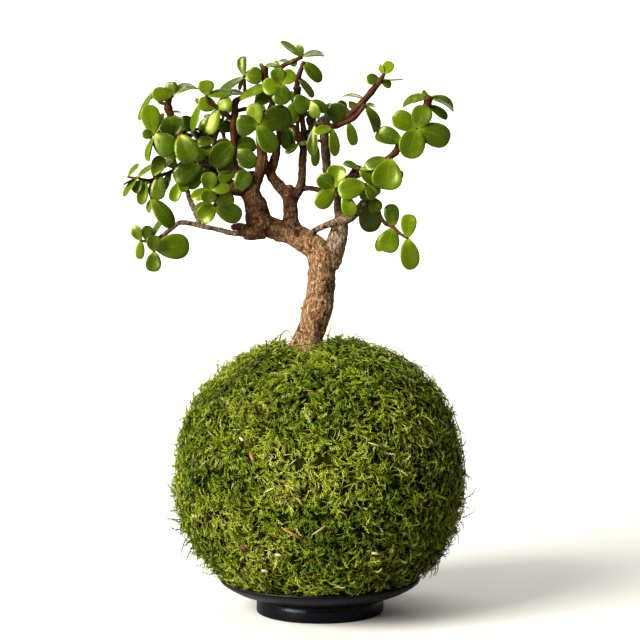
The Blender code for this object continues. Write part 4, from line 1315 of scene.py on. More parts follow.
SHOOTS: dict[str, Shoot] = {
    "shoot_top_left": Shoot([
        [
            (-84, 283, 8, 1.6), (-87.6, 292, 5, 2.2), (-91, 301, 2, 2.5), (-90.6, 306, 0, 1.9),
            (-88.3, 309, -2, 1.1),
        ],
        [(-91, 303.4, 1, 1.2), (-96, 304.8, 2, 1.1), (-99.8, 311.4, 3, 0.9)],
    ], [
        (4, 180, 22, 12.5, 9), (4, 160, -14, 17, 10, -36, 60), (12, 239, 2, 20, 9.6, -58),
        (4, 100, 10, 8, 8, 15), (4, 43, 0, 18.4, 10.5, 40, 72), (1.7, 8, -20, 7.5, 4.5, 65),
        (1.5, 280, 38, 17.5, 15.5),
    ]),
    "shoot_far_left": Shoot([
        [
            (-79.5, 277.4, 9.3, 1.3), (-84, 279, 2, 1.2), (-92, 280, -6, 1.1),
            (-97.5, 283, -12, 1.0), (-100, 285.3, -15, 1.0),
        ],
    ], [
        (4, 97, 12, 17.5, 11.5, -8), (3.8, 76, -16, 15.5, 9, 35), (4, 183, 28, 6.8, 6),
        (4, -42, 12, 17, 13.8), (3.7, 252, 2, 15.8, 9, -66),
    ]),
    "shoot_left_front": Shoot([
        [(-74, 271.4, 9.8, 1.3), (-77, 276, 0, 1.2), (-79.5, 282, -12, 1.1), (-84, 285, -21, 0.9)],
    ], [
        (3, -66, 8, 18, 14.2, 0, 12, -0.16), (1.4, -50, 16, 12, 9, 22, 12, -0.25),
    ]),
    "shoot_left_low": Shoot([
        [(-76, 273, 10, 1.4), (-83, 268, 5, 1.3), (-90, 262.5, -1, 1.2), (-100, 260.2, -7, 1.0)],
    ], [
        (3, 66, 10, 13, 8.6, -12), (3, 48, -12, 16, 9.5, 58), (2.6, 263, 8, 15, 9.5, -8),
        (1.9, 243, 0, 13.5, 9, -48), (1, 222, 8, 7, 5, -35), (1.5, 128, 6, 10, 8, 20),
    ]),
    "shoot_left_tip": Shoot([
        [
            (-93, 261.8, 1.8, 1.1), (-100.3, 258, 4, 1.2), (-105, 258, 0, 1.0),
            (-109.7, 259.3, -3, 0.8),
        ],
        [(-100.5, 258, 4, 1.1), (-102, 252, 1, 1.1), (-101, 246.6, -2, 1.0)],
        [(-109.7, 259.3, -3, 0.8), (-113, 259.4, 0, 0.8), (-115.2, 259.8, 2, 0.7)],
    ], [
        (3, 44, 0, 13, 8, 60), (22, 58, -4, 10.5, 6.5, 50), (3, 203, 2, 9.6, 6, -82),
        (3, 231, 8, 14, 8, -50), (2.4, 243, 16, 9.5, 6, -15), (1, 203, 6, 7.5, 5, -50),
        (2, 263, 14, 15.5, 7, 8), (12, -44, 24, 22, 12, 32, 40), (12, 250, -16, 9, 5.5, -40),
    ]),
    "shoot_twig_end": Shoot([
        [
            (-95, 224, -2, 1.4), (-99.5, 221.6, -4, 1.2), (-104, 221.2, -5, 1.0),
            (-107.6, 221.6, -6, 0.8),
        ],
        [(-99.5, 221.6, -4, 1.0), (-99.5, 214.9, -10, 0.9)],
    ], [
        (1.6, 68, -16, 17, 8, 50), (2, 84, 18, 9.6, 7), (3, 113, 8, 9.8, 7.2, 10),
        (3, 267, 5, 11.2, 5.8), (11, 89, 22, 10.2, 8.8), (11, 269, 10, 12, 9.6),
        (10.6, 3, -4, 21, 15.6),
    ]),
    "shoot_grey_twig": Shoot([
        [(-81.6, 255.2, 0, 1.2), (-84, 257.2, -3, 1.0)],
    ], [
        (1, 251, 10, 13, 7.5), (1, 300, 24, 8, 6.5, 20), (1, 115, -10, 5.5, 5, 30),
    ]),
    "shoot_left_middle": Shoot([
        [(-66, 264.9, 8.7, 1.3), (-68.5, 266, 0, 1.2), (-71.5, 266.6, -6, 1.0)],
    ], [
        (2, 207, 6, 18, 12.6, 0, 12, -0.12), (1.6, 242, 6, 16, 8, 20, 12, -0.3),
    ]),
    "shoot_left_inner": Shoot([
        [(-61, 261.2, 7.2, 1.4), (-61.5, 271, 3, 1.3), (-63.5, 279, 3, 1.2), (-61, 288, 2, 1.0)],
    ], [
        (2.3, 188, 8, 11, 7, -25), (2, 10, 0, 10, 8, 20), (3, 160, -10, 13, 9, -20),
        (3, 20, -15, 10, 8, 10), (1.4, 168, 0, 9, 8, -20),
    ]),
    "shoot_left_centre": Shoot([
        [
            (-42, 248.5, -3, 2.0), (-50, 250.6, -8, 2.0), (-56.5, 249.6, -11, 1.9),
            (-61, 247, -14, 1.8), (-63, 242.4, -16, 1.3),
        ],
        [(-60.5, 247.6, -13.5, 1.2), (-65.8, 252.2, -21, 0.9)],
    ], [
        (0.9, 68, 5, 13.8, 11.4), (11, 95, 24, 10.6, 9.6), (11, 4, 10, 12, 6.8),
        (11, 208, 10, 12.2, 7.4, -5), (11, 262, 38, 10, 9.4), (4, 178, -10, 12.6, 7, -45),
        (4, 225, 10, 12.6, 10.8), (4, 26, 12, 12.4, 8.6, -10), (4, -24, 2, 17, 12),
    ]),
    "shoot_upper_left": Shoot([
        [
            (-47.6, 252, 1.6, 2.0), (-50, 262, 2, 1.6), (-50.6, 271, 2, 1.5), (-51.6, 281, 1, 2.0),
            (-52, 290, 0, 2.3), (-51, 298, 0, 2.1), (-50.5, 305, -1, 2.0), (-45.4, 309.4, 3.5, 1.2),
            (-45.5, 320.4, -1, 1.0),
        ],
        [(-51, 299, 0, 1.4), (-45.5, 300.5, 2, 1.3), (-41.5, 300.5, 3, 1.1)],
    ], [
        (3, 229, 14, 19.8, 13.6, 0, 12, -0.15), (2.5, -37, 10, 16, 11, 0, 12, -0.2),
        (1.4, 186, 12, 12, 7.6), (1.1, 206, 12, 12, 7.5, 10), (2.8, 4, -16, 14, 11, 12),
        (7.95, 209, -2, 19, 9, -46), (7.9, 239, -16, 8, 5, -50), (8, 97, 2, 12, 7.2, 28),
        (7.96, 3, 6, 10.8, 10.8), (6.2, 25, 8, 19.6, 9.5, 44, 5), (7, 166, -14, 13, 6.5, -45),
        (12, 10, 0, 7, 6, 20),
    ]),
    "shoot_upper_left_fork": Shoot([
        [
            (-52, 293.5, 0, 1.5), (-57, 298, -3, 1.5), (-62, 301.8, -6, 1.4),
            (-66.5, 304.5, -8, 1.2), (-68, 308.6, -9, 1.0),
        ],
        [(-66.5, 304.6, -8, 1.0), (-71.4, 304.6, -5, 0.9)],
    ], [
        (2, 166, 18, 11.4, 9.4), (2, 17, 24, 10.2, 9.2), (1.8, 249, 6, 16.5, 9, -12),
        (11, 249, 2, 18.2, 8.6, -48), (11, 160, -20, 4.5, 4, 30), (4, 93, 8, 9.2, 10),
        (4, 10, -6, 15.4, 8, 30),
    ]),
    "shoot_centre_left": Shoot([
        [(-37.3, 288, -4, 1.5), (-37, 291.2, -13, 1.1)],
    ], [
        (0.98, 184, 10, 13.2, 13), (1, -60, 14, 19.4, 12.4, 12), (0.96, 106, 6, 13.2, 10.4, 15),
        (1, 19, -4, 20.8, 15.4, 0, 12, -0.28),
    ]),
    "shoot_top_centre": Shoot([
        [
            (-24.8, 286, 2, 1.3), (-27, 297, 4, 1.4), (-29, 306, 3, 1.5), (-27.4, 312, -4, 1.1),
            (-23.2, 315.6, -11, 0.9),
        ],
        [(-29, 306, 3, 1.5), (-32, 314, 4, 2.2), (-33, 319, 3, 2.4), (-33.3, 325.4, 2, 2.3)],
    ], [
        (4, 197, 10, 11.6, 10.6), (4, 113, 14, 9.8, 9), (4, 42, 12, 10.4, 9),
        (4, 271, 16, 13.2, 11.8), (2, 174, -22, 12, 9.5, -10), (13, 22, -6, 8.5, 6.5, 50, 40),
        (13, 150, -10, 4, 4, 40),
    ]),
    "shoot_top_tip": Shoot([
        [
            (-27, 297, 4, 1.4), (-27.6, 299.4, 10, 1.4), (-28.5, 313, 11, 1.5),
            (-26.5, 321, 10, 1.4), (-22.5, 326.2, 7, 1.4), (-16, 329.3, 4, 1.4),
            (-10.8, 331.8, 2, 1.2),
        ],
    ], [
        (6, 149, 0, 16, 8.4, -52, -12), (6, 108, 14, 7.6, 6, 34), (6, 24, 0, 14.6, 8.5, 50, 44),
        (4.7, 163, -20, 8, 5, -55), (3.6, 122, -6, 6, 5, 20), (5.4, 226, -20, 5.5, 4.5, 30),
    ]),
    "shoot_upper_centre": Shoot([
        [(-9.8, 288, 4, 1.8), (-11.2, 298, 3, 1.7), (-13.3, 307, 0, 2.0), (-13.6, 313.4, -2, 2.6)],
        [
            (-14.2, 312, -1, 1.9), (-13, 319.5, -2, 1.8), (-10.6, 326.4, -3, 1.5),
            (-9.8, 328.8, -3, 1.1),
        ],
        [(-13, 305, 0, 1.3), (-9.4, 305, -6, 1.1), (-6, 305.4, -11, 0.9)],
    ], [
        (13, -47, 8, 15.8, 8.8, 15, 20), (13, -37, -14, 15.2, 7, 35), (11, -50, 4, 15, 8, 50),
        (22, 200, 8, 10.2, 12), (22, -66, 10, 11.4, 7.5, -20), (22, -28, -8, 12, 7.5, 15),
        (21.6, 6, -22, 8.5, 5, 80), (1.85, 243, 8, 16.5, 9.6, -15), (1.9, 148, -12, 10.5, 7.5, -20),
    ]),
    "shoot_hanging": Shoot([
        [(2, 291.5, 4, 1.5), (1.8, 290.8, -3, 1.5), (2, 290.4, -6.5, 1.4)],
        [(1.8, 290.6, -4, 1.2), (-3, 290.6, -7, 1.0)],
        [(2, 290.4, -5, 1.2), (7.4, 289.2, -8, 1.0)],
    ], [
        (11, 265, 2, 18.4, 7.5, -30), (21, 195, 14, 11.5, 6, -20), (21, -83, 4, 17, 7.2, 18),
    ]),
    "shoot_hanging_behind": Shoot([
        [(3, 281, 4, 1.0), (-0.8, 281.5, 2.5, 0.9), (-2.6, 280.6, 2, 0.8)],
    ], [
        (2, 270, 2, 14.5, 6, 20),
    ]),
    "shoot_dark_inner": Shoot([
        [(-9.8, 284, 4, 1.3), (-15, 288.5, 7, 1.2), (-18, 291, 7, 1.1), (-22, 290, 6, 0.9)],
        [(-14.4, 288, 6.5, 1.0), (-14, 283, 4, 0.9), (-12.8, 279.6, -1, 0.8)],
    ], [
        (3, -79, 5, 14, 7.5, 15), (1.6, 262, -2, 13, 8, -20), (12, 211, 0, 9.6, 5.6, -30),
        (2, 60, -10, 12, 9, 20), (12, 10, 10, 6, 5, 45),
    ]),
    "shoot_upper_right": Shoot([
        [
            (2.2, 291, 4, 1.9), (10, 290.6, 2, 1.9), (17.8, 296.8, 1, 2.1), (24.8, 303.8, 0, 2.1),
            (30.8, 310.8, 0, 2.1), (36.2, 317.8, -1, 1.8), (38.5, 321.6, -2, 1.0),
        ],
        [(11, 290.8, -1, 1.6), (20, 295, -3, 1.6), (27, 302.8, -4, 1.4)],
    ], [
        (6, 60, 4, 8.6, 7, 0, 12, 0.35), (6, 121, -8, 6.2, 5, 52, 12, 0.3), (5, 176, 8, 8.6, 7),
        (5, -22, -14, 7.8, 6, 20), (5.1, -7, 2, 13.6, 7, 82, -14), (3.35, 152, -4, 15, 7, -58, 42),
        (2.8, 166, -28, 8, 5, 25), (12, -54, 5, 18, 9, 30, 48), (12, 5, -24, 7.5, 5, 45),
        (10.65, -75, 2, 15, 6.8, 15), (2.1, 176, 16, 14.6, 12, 0, 12, -0.1),
    ]),
    "shoot_right_rosette": Shoot([
        [
            (40, 270.4, 1, 1.7), (45.3, 274.6, 0, 2.2), (47.6, 279.6, -3, 1.8), (53, 285, -9, 1.3),
            (58.3, 288.8, -15, 1.1),
        ],
    ], [
        (4, 152, 6, 16.4, 12), (4, 71, 20, 14.2, 12.5), (4, -19, 5, 20.4, 14.4),
        (4, 251, 14, 19, 15.6), (2.3, 161, -6, 16.5, 11.8, -10), (3.8, -66, -20, 12.5, 8, 15),
    ]),
    "shoot_right_stub": Shoot([
        [
            (54, 286, -10, 1.3), (57.5, 292, -4, 1.4), (61.5, 298, -4, 1.6), (64, 302, -6, 2.5),
            (65.2, 307.6, -8, 2.9),
        ],
    ], [
        (4, 178, 2, 17.4, 9, -38, 56), (4, -6, 5, 19, 9.5, 40, 62), (3.2, -27, -12, 15.2, 7.5, 28),
        (4, 135, -6, 5.5, 4, 40), (4, 10, 0, 5.5, 3, 80),
    ]),
    "shoot_right_drop": Shoot([
        [(37, 269, 1, 1.2), (40, 271.2, -6, 1.1), (42.2, 271, -9, 1.0)],
    ], [
        (2, 261, 6, 19, 18.2, 0, 12, -0.12), (1, 203, 8, 14, 9, -28, 12, -0.15),
    ]),
    "shoot_middle_right": Shoot([
        [(9, 252.4, 2, 1.3), (8.6, 253.4, -8, 1.0)],
        [(8.8, 252.8, -4, 0.9), (12, 250.6, -9, 0.9), (14.6, 248.8, -9.5, 0.8)],
    ], [
        (1, 147, 10, 12, 9.6), (1, 79, 4, 13.6, 12, 8), (1, 229, 10, 15.8, 10.8),
        (0.9, 36, -16, 8, 5, 40), (12, -69, 8, 13.4, 9.4),
    ]),
    "shoot_arm_front": Shoot([
        [(20, 259.6, 0, 1.3), (22.4, 257, -7, 1.1), (27.6, 255, -11, 1.0)],
    ], [
        (2, 194, 8, 17.2, 12.8), (1.9, -52, -14, 10.5, 8, 20), (1.9, -86, -10, 9.6, 8, 10),
    ]),
    "shoot_arm_top": Shoot([
        [(21.4, 260.2, 0, 1.1), (23.6, 264.6, -3, 0.9)],
    ], [
        (1, 156, 4, 10.4, 6.6, -38), (1, -36, 2, 14.5, 9.4, 10), (1, 4, 14, 12, 6, 48),
    ]),
    "shoot_lower_right": Shoot([
        [
            (26.3, 244.6, -4, 1.5), (29.5, 248, -1, 1.3), (33, 243.4, 1, 1.2), (36, 236.4, 2, 1.2),
            (39.4, 231.8, 2, 1.2), (44, 229.6, 0, 1.1), (48, 225.8, -3, 1.0), (52.5, 223, -5, 0.8),
        ],
    ], [
        (1.1, 272, -8, 21.6, 14.2, 0, 12, -0.2), (1.1, -60, 8, 10.5, 8.5, 10, 12, -0.2),
        (1, 52, -8, 9, 8), (5, 98, 4, 14.2, 9.6, 10), (5, 253, 8, 15.8, 13),
        (5, 233, -14, 18, 8, -15), (7, 86, 4, 14.6, 9.8), (7, -84, 6, 19, 11.8),
    ]),
}

# Shoots on the far side, with leaves in opposite pairs: leaf length, leaf width and stem
REAR_SHOOTS: dict[str, tuple[float, float, list[Spot]]] = {
    "rear_left_high": (12.5, 9, [
        (-57, 280, 33, 1.4), (-58, 286, 34, 1.2), (-59, 291, 31, 1.1), (-58, 296, 28, 0.9),
    ]),
    "rear_left_low": (12.8, 9.4, [
        (-52, 268, 27, 1.4), (-59, 266, 32, 1.2), (-66, 267, 36, 1.1), (-72.6, 269.6, 38.4, 1.0),
    ]),
    "rear_left_wide": (12.5, 9, [
        (-76, 273, 10, 1.4), (-80, 275, 18, 1.2), (-86, 278, 23, 1.1), (-91, 282, 26, 0.9),
    ]),
    "rear_centre_high": (12.5, 9, [
        (-35.5, 283, 30, 1.4), (-34.5, 291, 31, 1.2), (-32, 298, 30, 1.1), (-29, 305, 28, 0.9),
    ]),
    "rear_centre_low": (12, 8.5, [(-33, 266, 22.5, 1.4), (-38, 263, 31, 1.2), (-43, 261, 37, 1.0)]),
    "rear_middle": (10.5, 7.5, [
        (-10.4, 274, 4, 1.3), (-12.4, 283, 17, 1.2), (-13.5, 292, 19, 1.1), (-13, 299, 20, 0.9),
    ]),
    "rear_upper_right": (9.5, 7, [
        (2.2, 291, 4, 1.4), (4, 292.5, 14, 1.2), (7, 295.5, 20, 1.1), (9, 298, 24, 0.9),
    ]),
    "rear_right_low": (11, 8, [(22, 266, 32, 1.3), (27, 264, 37, 1.1), (31, 259, 40, 0.9)]),
    "rear_right_middle": (10, 7.5, [(16, 257, 24, 1.3), (11, 257.5, 31, 1.1), (7, 258.5, 35, 0.9)]),
    "rear_left_inner": (10.5, 8.2, [
        (-67, 265.5, 9, 1.3), (-67.5, 272, 15.5, 1.2), (-69, 279, 17, 1.1),
    ]),
    "rear_left_middle": (9.6, 8, [
        (-46, 256, 14, 1.3), (-52, 254, 18, 1.2), (-57.5, 254, 21, 1.1), (-62.5, 255, 22.5, 0.9),
    ]),
    "rear_left_top": (10.2, 8.5, [
        (-84, 283, 8, 1.2), (-81.5, 286.8, 14.5, 1.2), (-77.2, 288.4, 19, 1.1),
        (-72.8, 288.4, 22, 0.9),
    ]),
    "rear_left_centre": (10.5, 8.5, [
        (-57, 258.5, 6, 1.3), (-53.5, 266, 10.5, 1.2), (-51, 274, 12, 1.1), (-49.5, 282, 12.5, 0.9),
    ]),
    "rear_centre_top": (8.4, 7, [
        (-35.5, 283, 30, 1.3), (-30.5, 287.5, 25, 1.2), (-28, 293, 22, 1.1),
    ]),
    "rear_right_far": (10.5, 8, [(34, 267.4, 1, 1.2), (37, 264, 10, 1.1), (40, 261, 15, 0.9)]),
    "rear_upper_middle": (8.4, 7.2, [
        (-9.8, 284, 4, 1.3), (-7, 287, 9, 1.2), (-5, 289, 11.5, 1.1), (-4.6, 292, 13, 0.9),
    ]),
}


@dataclass
class Foliage:
    """The leafy shoots.

    Attributes:
        leaf_finish: of the leaves.
        stem_finish: of the stems.
        rings: rings along a leaf.
        cover: the share of half a cosine wave that spaces the rings.
        sides: points round a leaf's section.
        neck: half width at a leaf's base, of its widest half width.
        thickness: of a leaf, of its width.
        swell: how much a stem swells where leaves stand, of its radius.
        stem_steps: points between two spots of a stem.
        stem_sides: points round a stem.
        seed: picks the small differences between leaves.
    """

    leaf_finish: Material
    stem_finish: Material
    rings: int = 15
    cover: float = 0.955
    sides: int = 14
    neck: float = 0.17
    thickness: float = 0.17
    swell: float = 0.16
    stem_steps: int = 6
    stem_sides: int = 10
    seed: int = 7

    def blades(self, bases: Array, leaves: Sequence[Leaf], tone: float, random: Draws) -> Shell:
        """Thick egg-shaped leaves.

        At share s of its length a leaf is s^a (1 - s)^b wide, with a near 0.7 and b near 0.44, on a
        spine that bends as an arc. Its section is an ellipse, folded a little along the middle,
        cupped by the square of the distance from it, and grooved on the upper side.

        Args:
            bases: the point each leaf grows from.
            leaves: the leaves.
            tone: the shoot's shade, darker on far-side shoots as painted shade.
            random: gives each leaf its own fold, cup, twist and shape.

        Returns:
            All the leaves as one shell.
        """
        count = len(leaves)
        axes = np.array([leaf.axes() for leaf in leaves])
        along, across, face = (axes[:, row, None, None] for row in range(3))
        length, width, bend, lift = (
            np.array([getattr(leaf, key) for leaf in leaves], float)[:, None, None]
            for key in ("length", "width", "bend", "tone")
        )
        draw = random.uniform(-1, 1, (7, count, 1, 1))
        bend = np.radians(bend) + 1e-4
        s = (0.5 - 0.5 * np.cos(np.linspace(0, self.cover, self.rings) * math.pi))[None, :, None]
        turn = (np.arange(self.sides) * 2 * math.pi / self.sides)[None, None, :]
        rise = 0.7 + 0.08 * draw[0]
        fall = 0.44 + 0.05 * draw[1]
        peak = rise / (rise + fall)
        swell = s**rise * (1 - s) ** fall / (peak**rise * (1 - peak) ** fall)
        swell = (swell**3 + (self.neck * np.sqrt(1 - s)) ** 3) ** (1 / 3)
        half = width / 2 * swell
        thick = width * self.thickness / 2 * (0.45 * np.sqrt(1 - s) + 0.65 * swell)
        aside = half * np.cos(turn)
        share = aside / (width / 2)
        above = thick * np.sign(np.sin(turn)) * np.abs(np.sin(turn)) ** 0.85
        fold = 0.09 + 0.06 * draw[2]
        cup = 0.03 + 0.13 * draw[3]
        wave = 0.03 * draw[4] * np.sin(5 * s + 3 * draw[5]) * share
        hump = fold * (np.sqrt(share**2 + 0.02) - 0.14) + cup * share**2 + wave
        above = above + width * hump * swell**0.5
        groove = np.exp(-((share / 0.16) ** 2)) * (1 - s) * np.clip(np.sin(turn), 0, 1)
        above = above - 0.035 * width * groove
        twist = np.radians(9) * draw[6] * s
        turned = aside * np.cos(twist) - above * np.sin(twist)
        above = aside * np.sin(twist) + above * np.cos(twist)
        arc = bend * s
        forward = (length * np.sin(arc) / bend)[..., None]
        droop = (length * (1 - np.cos(arc)) / bend)[..., None]
        normal = face * np.cos(arc)[..., None] + along * np.sin(arc)[..., None]
        spine = bases[:, None, None] + along * forward - face * droop
        rings = spine + across * turned[..., None] + normal * above[..., None]
        end = bend[:, 0]
        reach = length[:, 0]
        tips = bases + along[:, 0, 0] * reach * np.sin(end) / end
        tips = tips - face[:, 0, 0] * reach * (1 - np.cos(end)) / end
        tips = tips + 0.5 * (rings[:, -1].mean(axis=1) - spine[:, -1, 0])
        uv = np.stack(np.broadcast_arrays(0.5 + 0.5 * np.cos(turn), s + 0 * length), axis=-1)
        # The shoot's and the leaf's own tone paint light and shade; the random part is the leaves'
        # real difference.
        shade = np.clip(tone + lift[:, 0, 0] + 0.2 * random.uniform(-1, 1, count), 0, 1)
        return tubes(rings, spine[:, 0, 0], tips, uv, shade)

    def stem(self, spots: list[Spot], red: float) -> tuple[Route, Shell]:
        """A stem that swells at each of its spots by swell times cos^8 of the phase between them.

        Args:
            spots: its spots.
            red: its colour, as for a shoot.

        Returns:
            Its route and its shell.
        """
        route = Route.through(spots, self.stem_steps)
        phase = np.arange(len(route.points)) / route.steps
        joint = np.cos(phase * math.pi) ** 8
        route = Route(route.points, route.radii * (0.97 + self.swell * joint), route.steps)
        return route, route_tube(route, self.stem_sides, red, part=1)

    def build_shoot(self, name: str, shoot: Shoot, random: Draws) -> None:
        """Makes one shoot's stems and leaves as one piece.

        Args:
            name: the node it stands for.
            shoot: the shoot.
            random: gives its leaves their small differences.
        """
        stems = [self.stem(spots, shoot.red) for spots in shoot.stems]
        leaves = [Leaf(*row) for row in shoot.leaves]
        bases = np.array([stems[int(leaf.at // 10)][0].at(leaf.at % 10) for leaf in leaves])
        blades = self.blades(bases, leaves, shoot.tone, random)
        shells = [blades] + [shell for _, shell in stems]
        piece = make_piece(f"{name}_growth", shells, [self.leaf_finish, self.stem_finish])
        settle(piece, MaterialSlot.LEAF, name)

    def build(self) -> None:
        """Makes every shoot."""
        random = np.random.default_rng(self.seed)
        rear = {name: paired_shoot(*row) for name, row in REAR_SHOOTS.items()}
        for name, shoot in {**SHOOTS, **rear}.items():
            self.build_shoot(name, shoot, random)


# ---------------------------------------------------------------- moss


# ---------------------------------------------------------------- moss


@dataclass
class BallShape:
    """The moss ball's form: (r / R)^p + (h / H)^p = 1, H larger above the waist, and a flat foot.

    Attributes:
        radius: R, at the waist.
        waist: the height of the widest ring.
        rise: H above the waist.
        drop: H below it.
        power: p, where 2 is an ellipse and more is boxier.
        flat: the height of the flat foot.
    """

    radius: float
    flat: float
    waist: float = 80.0
    rise: float = 82.0
    drop: float = 73.0
    power: float = 2.3

    @classmethod
    def from_frame(cls) -> BallShape:
        """The ball whose radius and foot are those of the moss in the frame."""
        low, high = (np.array(corner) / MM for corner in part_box("moss_cover"))
        return cls(radius=float(high[0] - low[0]) / 2, flat=float(low[2]))

    def points(self, azimuth: Array, polar: Array) -> tuple[Array, Array]:
        """Points on the ball and the normals there.

        Args:
            azimuth: degrees round the ball, 0 along +X.
            polar: radians from the bottom to the top.

        Returns:
            Points and unit normals, one row for each pair of angles.
        """
        bearing = np.radians(azimuth)
        side = np.abs(np.sin(polar)) ** (2 / self.power)
        lift = -np.sign(np.cos(polar)) * np.abs(np.cos(polar)) ** (2 / self.power)
        tall = np.where(lift > 0, self.rise, self.drop)
        out = np.stack((np.cos(bearing), np.sin(bearing), np.zeros_like(bearing)), axis=-1)
        height = self.waist + tall * lift
        points = out * (self.radius * side)[..., None]
        points[..., 2] = np.maximum(height, self.flat)
        normal = out * (side ** (self.power - 1) / self.radius)[..., None]
        normal[..., 2] = np.sign(lift) * np.abs(lift) ** (self.power - 1) / tall
        normal[height < self.flat] = (0, 0, -1)
        return points, unit(normal)

    def front(self, x: float, z: float, out: float) -> Array:
        """The point on the viewer's side of the ball that shows at a place on the front drawing.

        Args:
            x: how far right of the middle.
            z: height on the drawing.
            out: how far off the ball.

        Returns:
            The point.
        """
        point = np.array((x, -60.0, z))
        for _ in range(8):
            near = place(x, z, point[1])
            tall = self.rise if near[2] > self.waist else self.drop
            share = min(abs(near[2] - self.waist) / tall, 1)
            radius = self.radius * (1 - share**self.power) ** (1 / self.power)
            point = np.array((near[0], -math.sqrt(max(radius**2 - near[0] ** 2, 1)), near[2]))
        return place(x, z, point[1] - out)


@dataclass(frozen=True)
class Strands:
    """Moss strands, one row of each array for each strand.

    At share t a strand stands at root + length (heading t + normal (lift t - sag t^2) + side
    bow t^2), with sag half the lift and a little more.

    Attributes:
        roots: where they start.
        normals: out of the ball there.
        heading: the way they lie on the surface.
        length: from root to tip, measured along the surface.
        girth: their radius near the root.
        lift: how steeply they leave the surface.
        hue: the number their colour is picked by.
    """

    roots: Array
    normals: Array
    heading: Array
    length: Array
    girth: Array
    lift: Array
    hue: Array

    def sector(self, sectors: int) -> Array:
        """Which of the equal sectors round the ball each strand stands in."""
        turn = np.arctan2(self.roots[:, 1], self.roots[:, 0]) / (2 * math.pi) % 1
        return np.minimum((turn * sectors).astype(int), sectors - 1)

    def pick(self, chosen: Array) -> Strands:
        """The chosen strands."""
        return Strands(*(getattr(self, key.name)[chosen] for key in fields(self)))

    def bends(self) -> tuple[Array, Array, Array, Array]:
        """Sideways direction, lift, sag and bow of each strand, ready to multiply by shares.

        Returns:
            Four arrays.
        """
        lift = self.lift[:, None, None]
        bow = 0.5 * np.sin(self.hue * 97 + self.length * 5)[:, None, None]
        return np.cross(self.normals, self.heading)[:, None], lift, 0.5 * lift + 0.1, bow

    def at(self, t: Array) -> Array:
        """The points at shares of the strands.

        Args:
            t: shares from root to tip, as strand, share and 1.

        Returns:
            A point for each strand and share.
        """
        aside, lift, sag, bow = self.bends()
        way = self.heading[:, None] * t + self.normals[:, None] * (lift * t - sag * t**2)
        return self.roots[:, None] + self.length[:, None, None] * (way + aside * bow * t**2)

    def frames(self, t: Array) -> tuple[Array, Array, Array]:
        """Directions along, across and above the strands.

        Args:
            t: shares from root to tip, as strand, share and 1.

        Returns:
            Three arrays with a unit vector for each strand and share.
        """
        out = self.normals[:, None]
        aside, lift, sag, bow = self.bends()
        ahead = unit(self.heading[:, None] + out * (lift - 2 * sag * t) + aside * 2 * bow * t)
        across = unit(np.cross(ahead, out + 0.2 * aside))
        return ahead, across, np.cross(across, ahead)


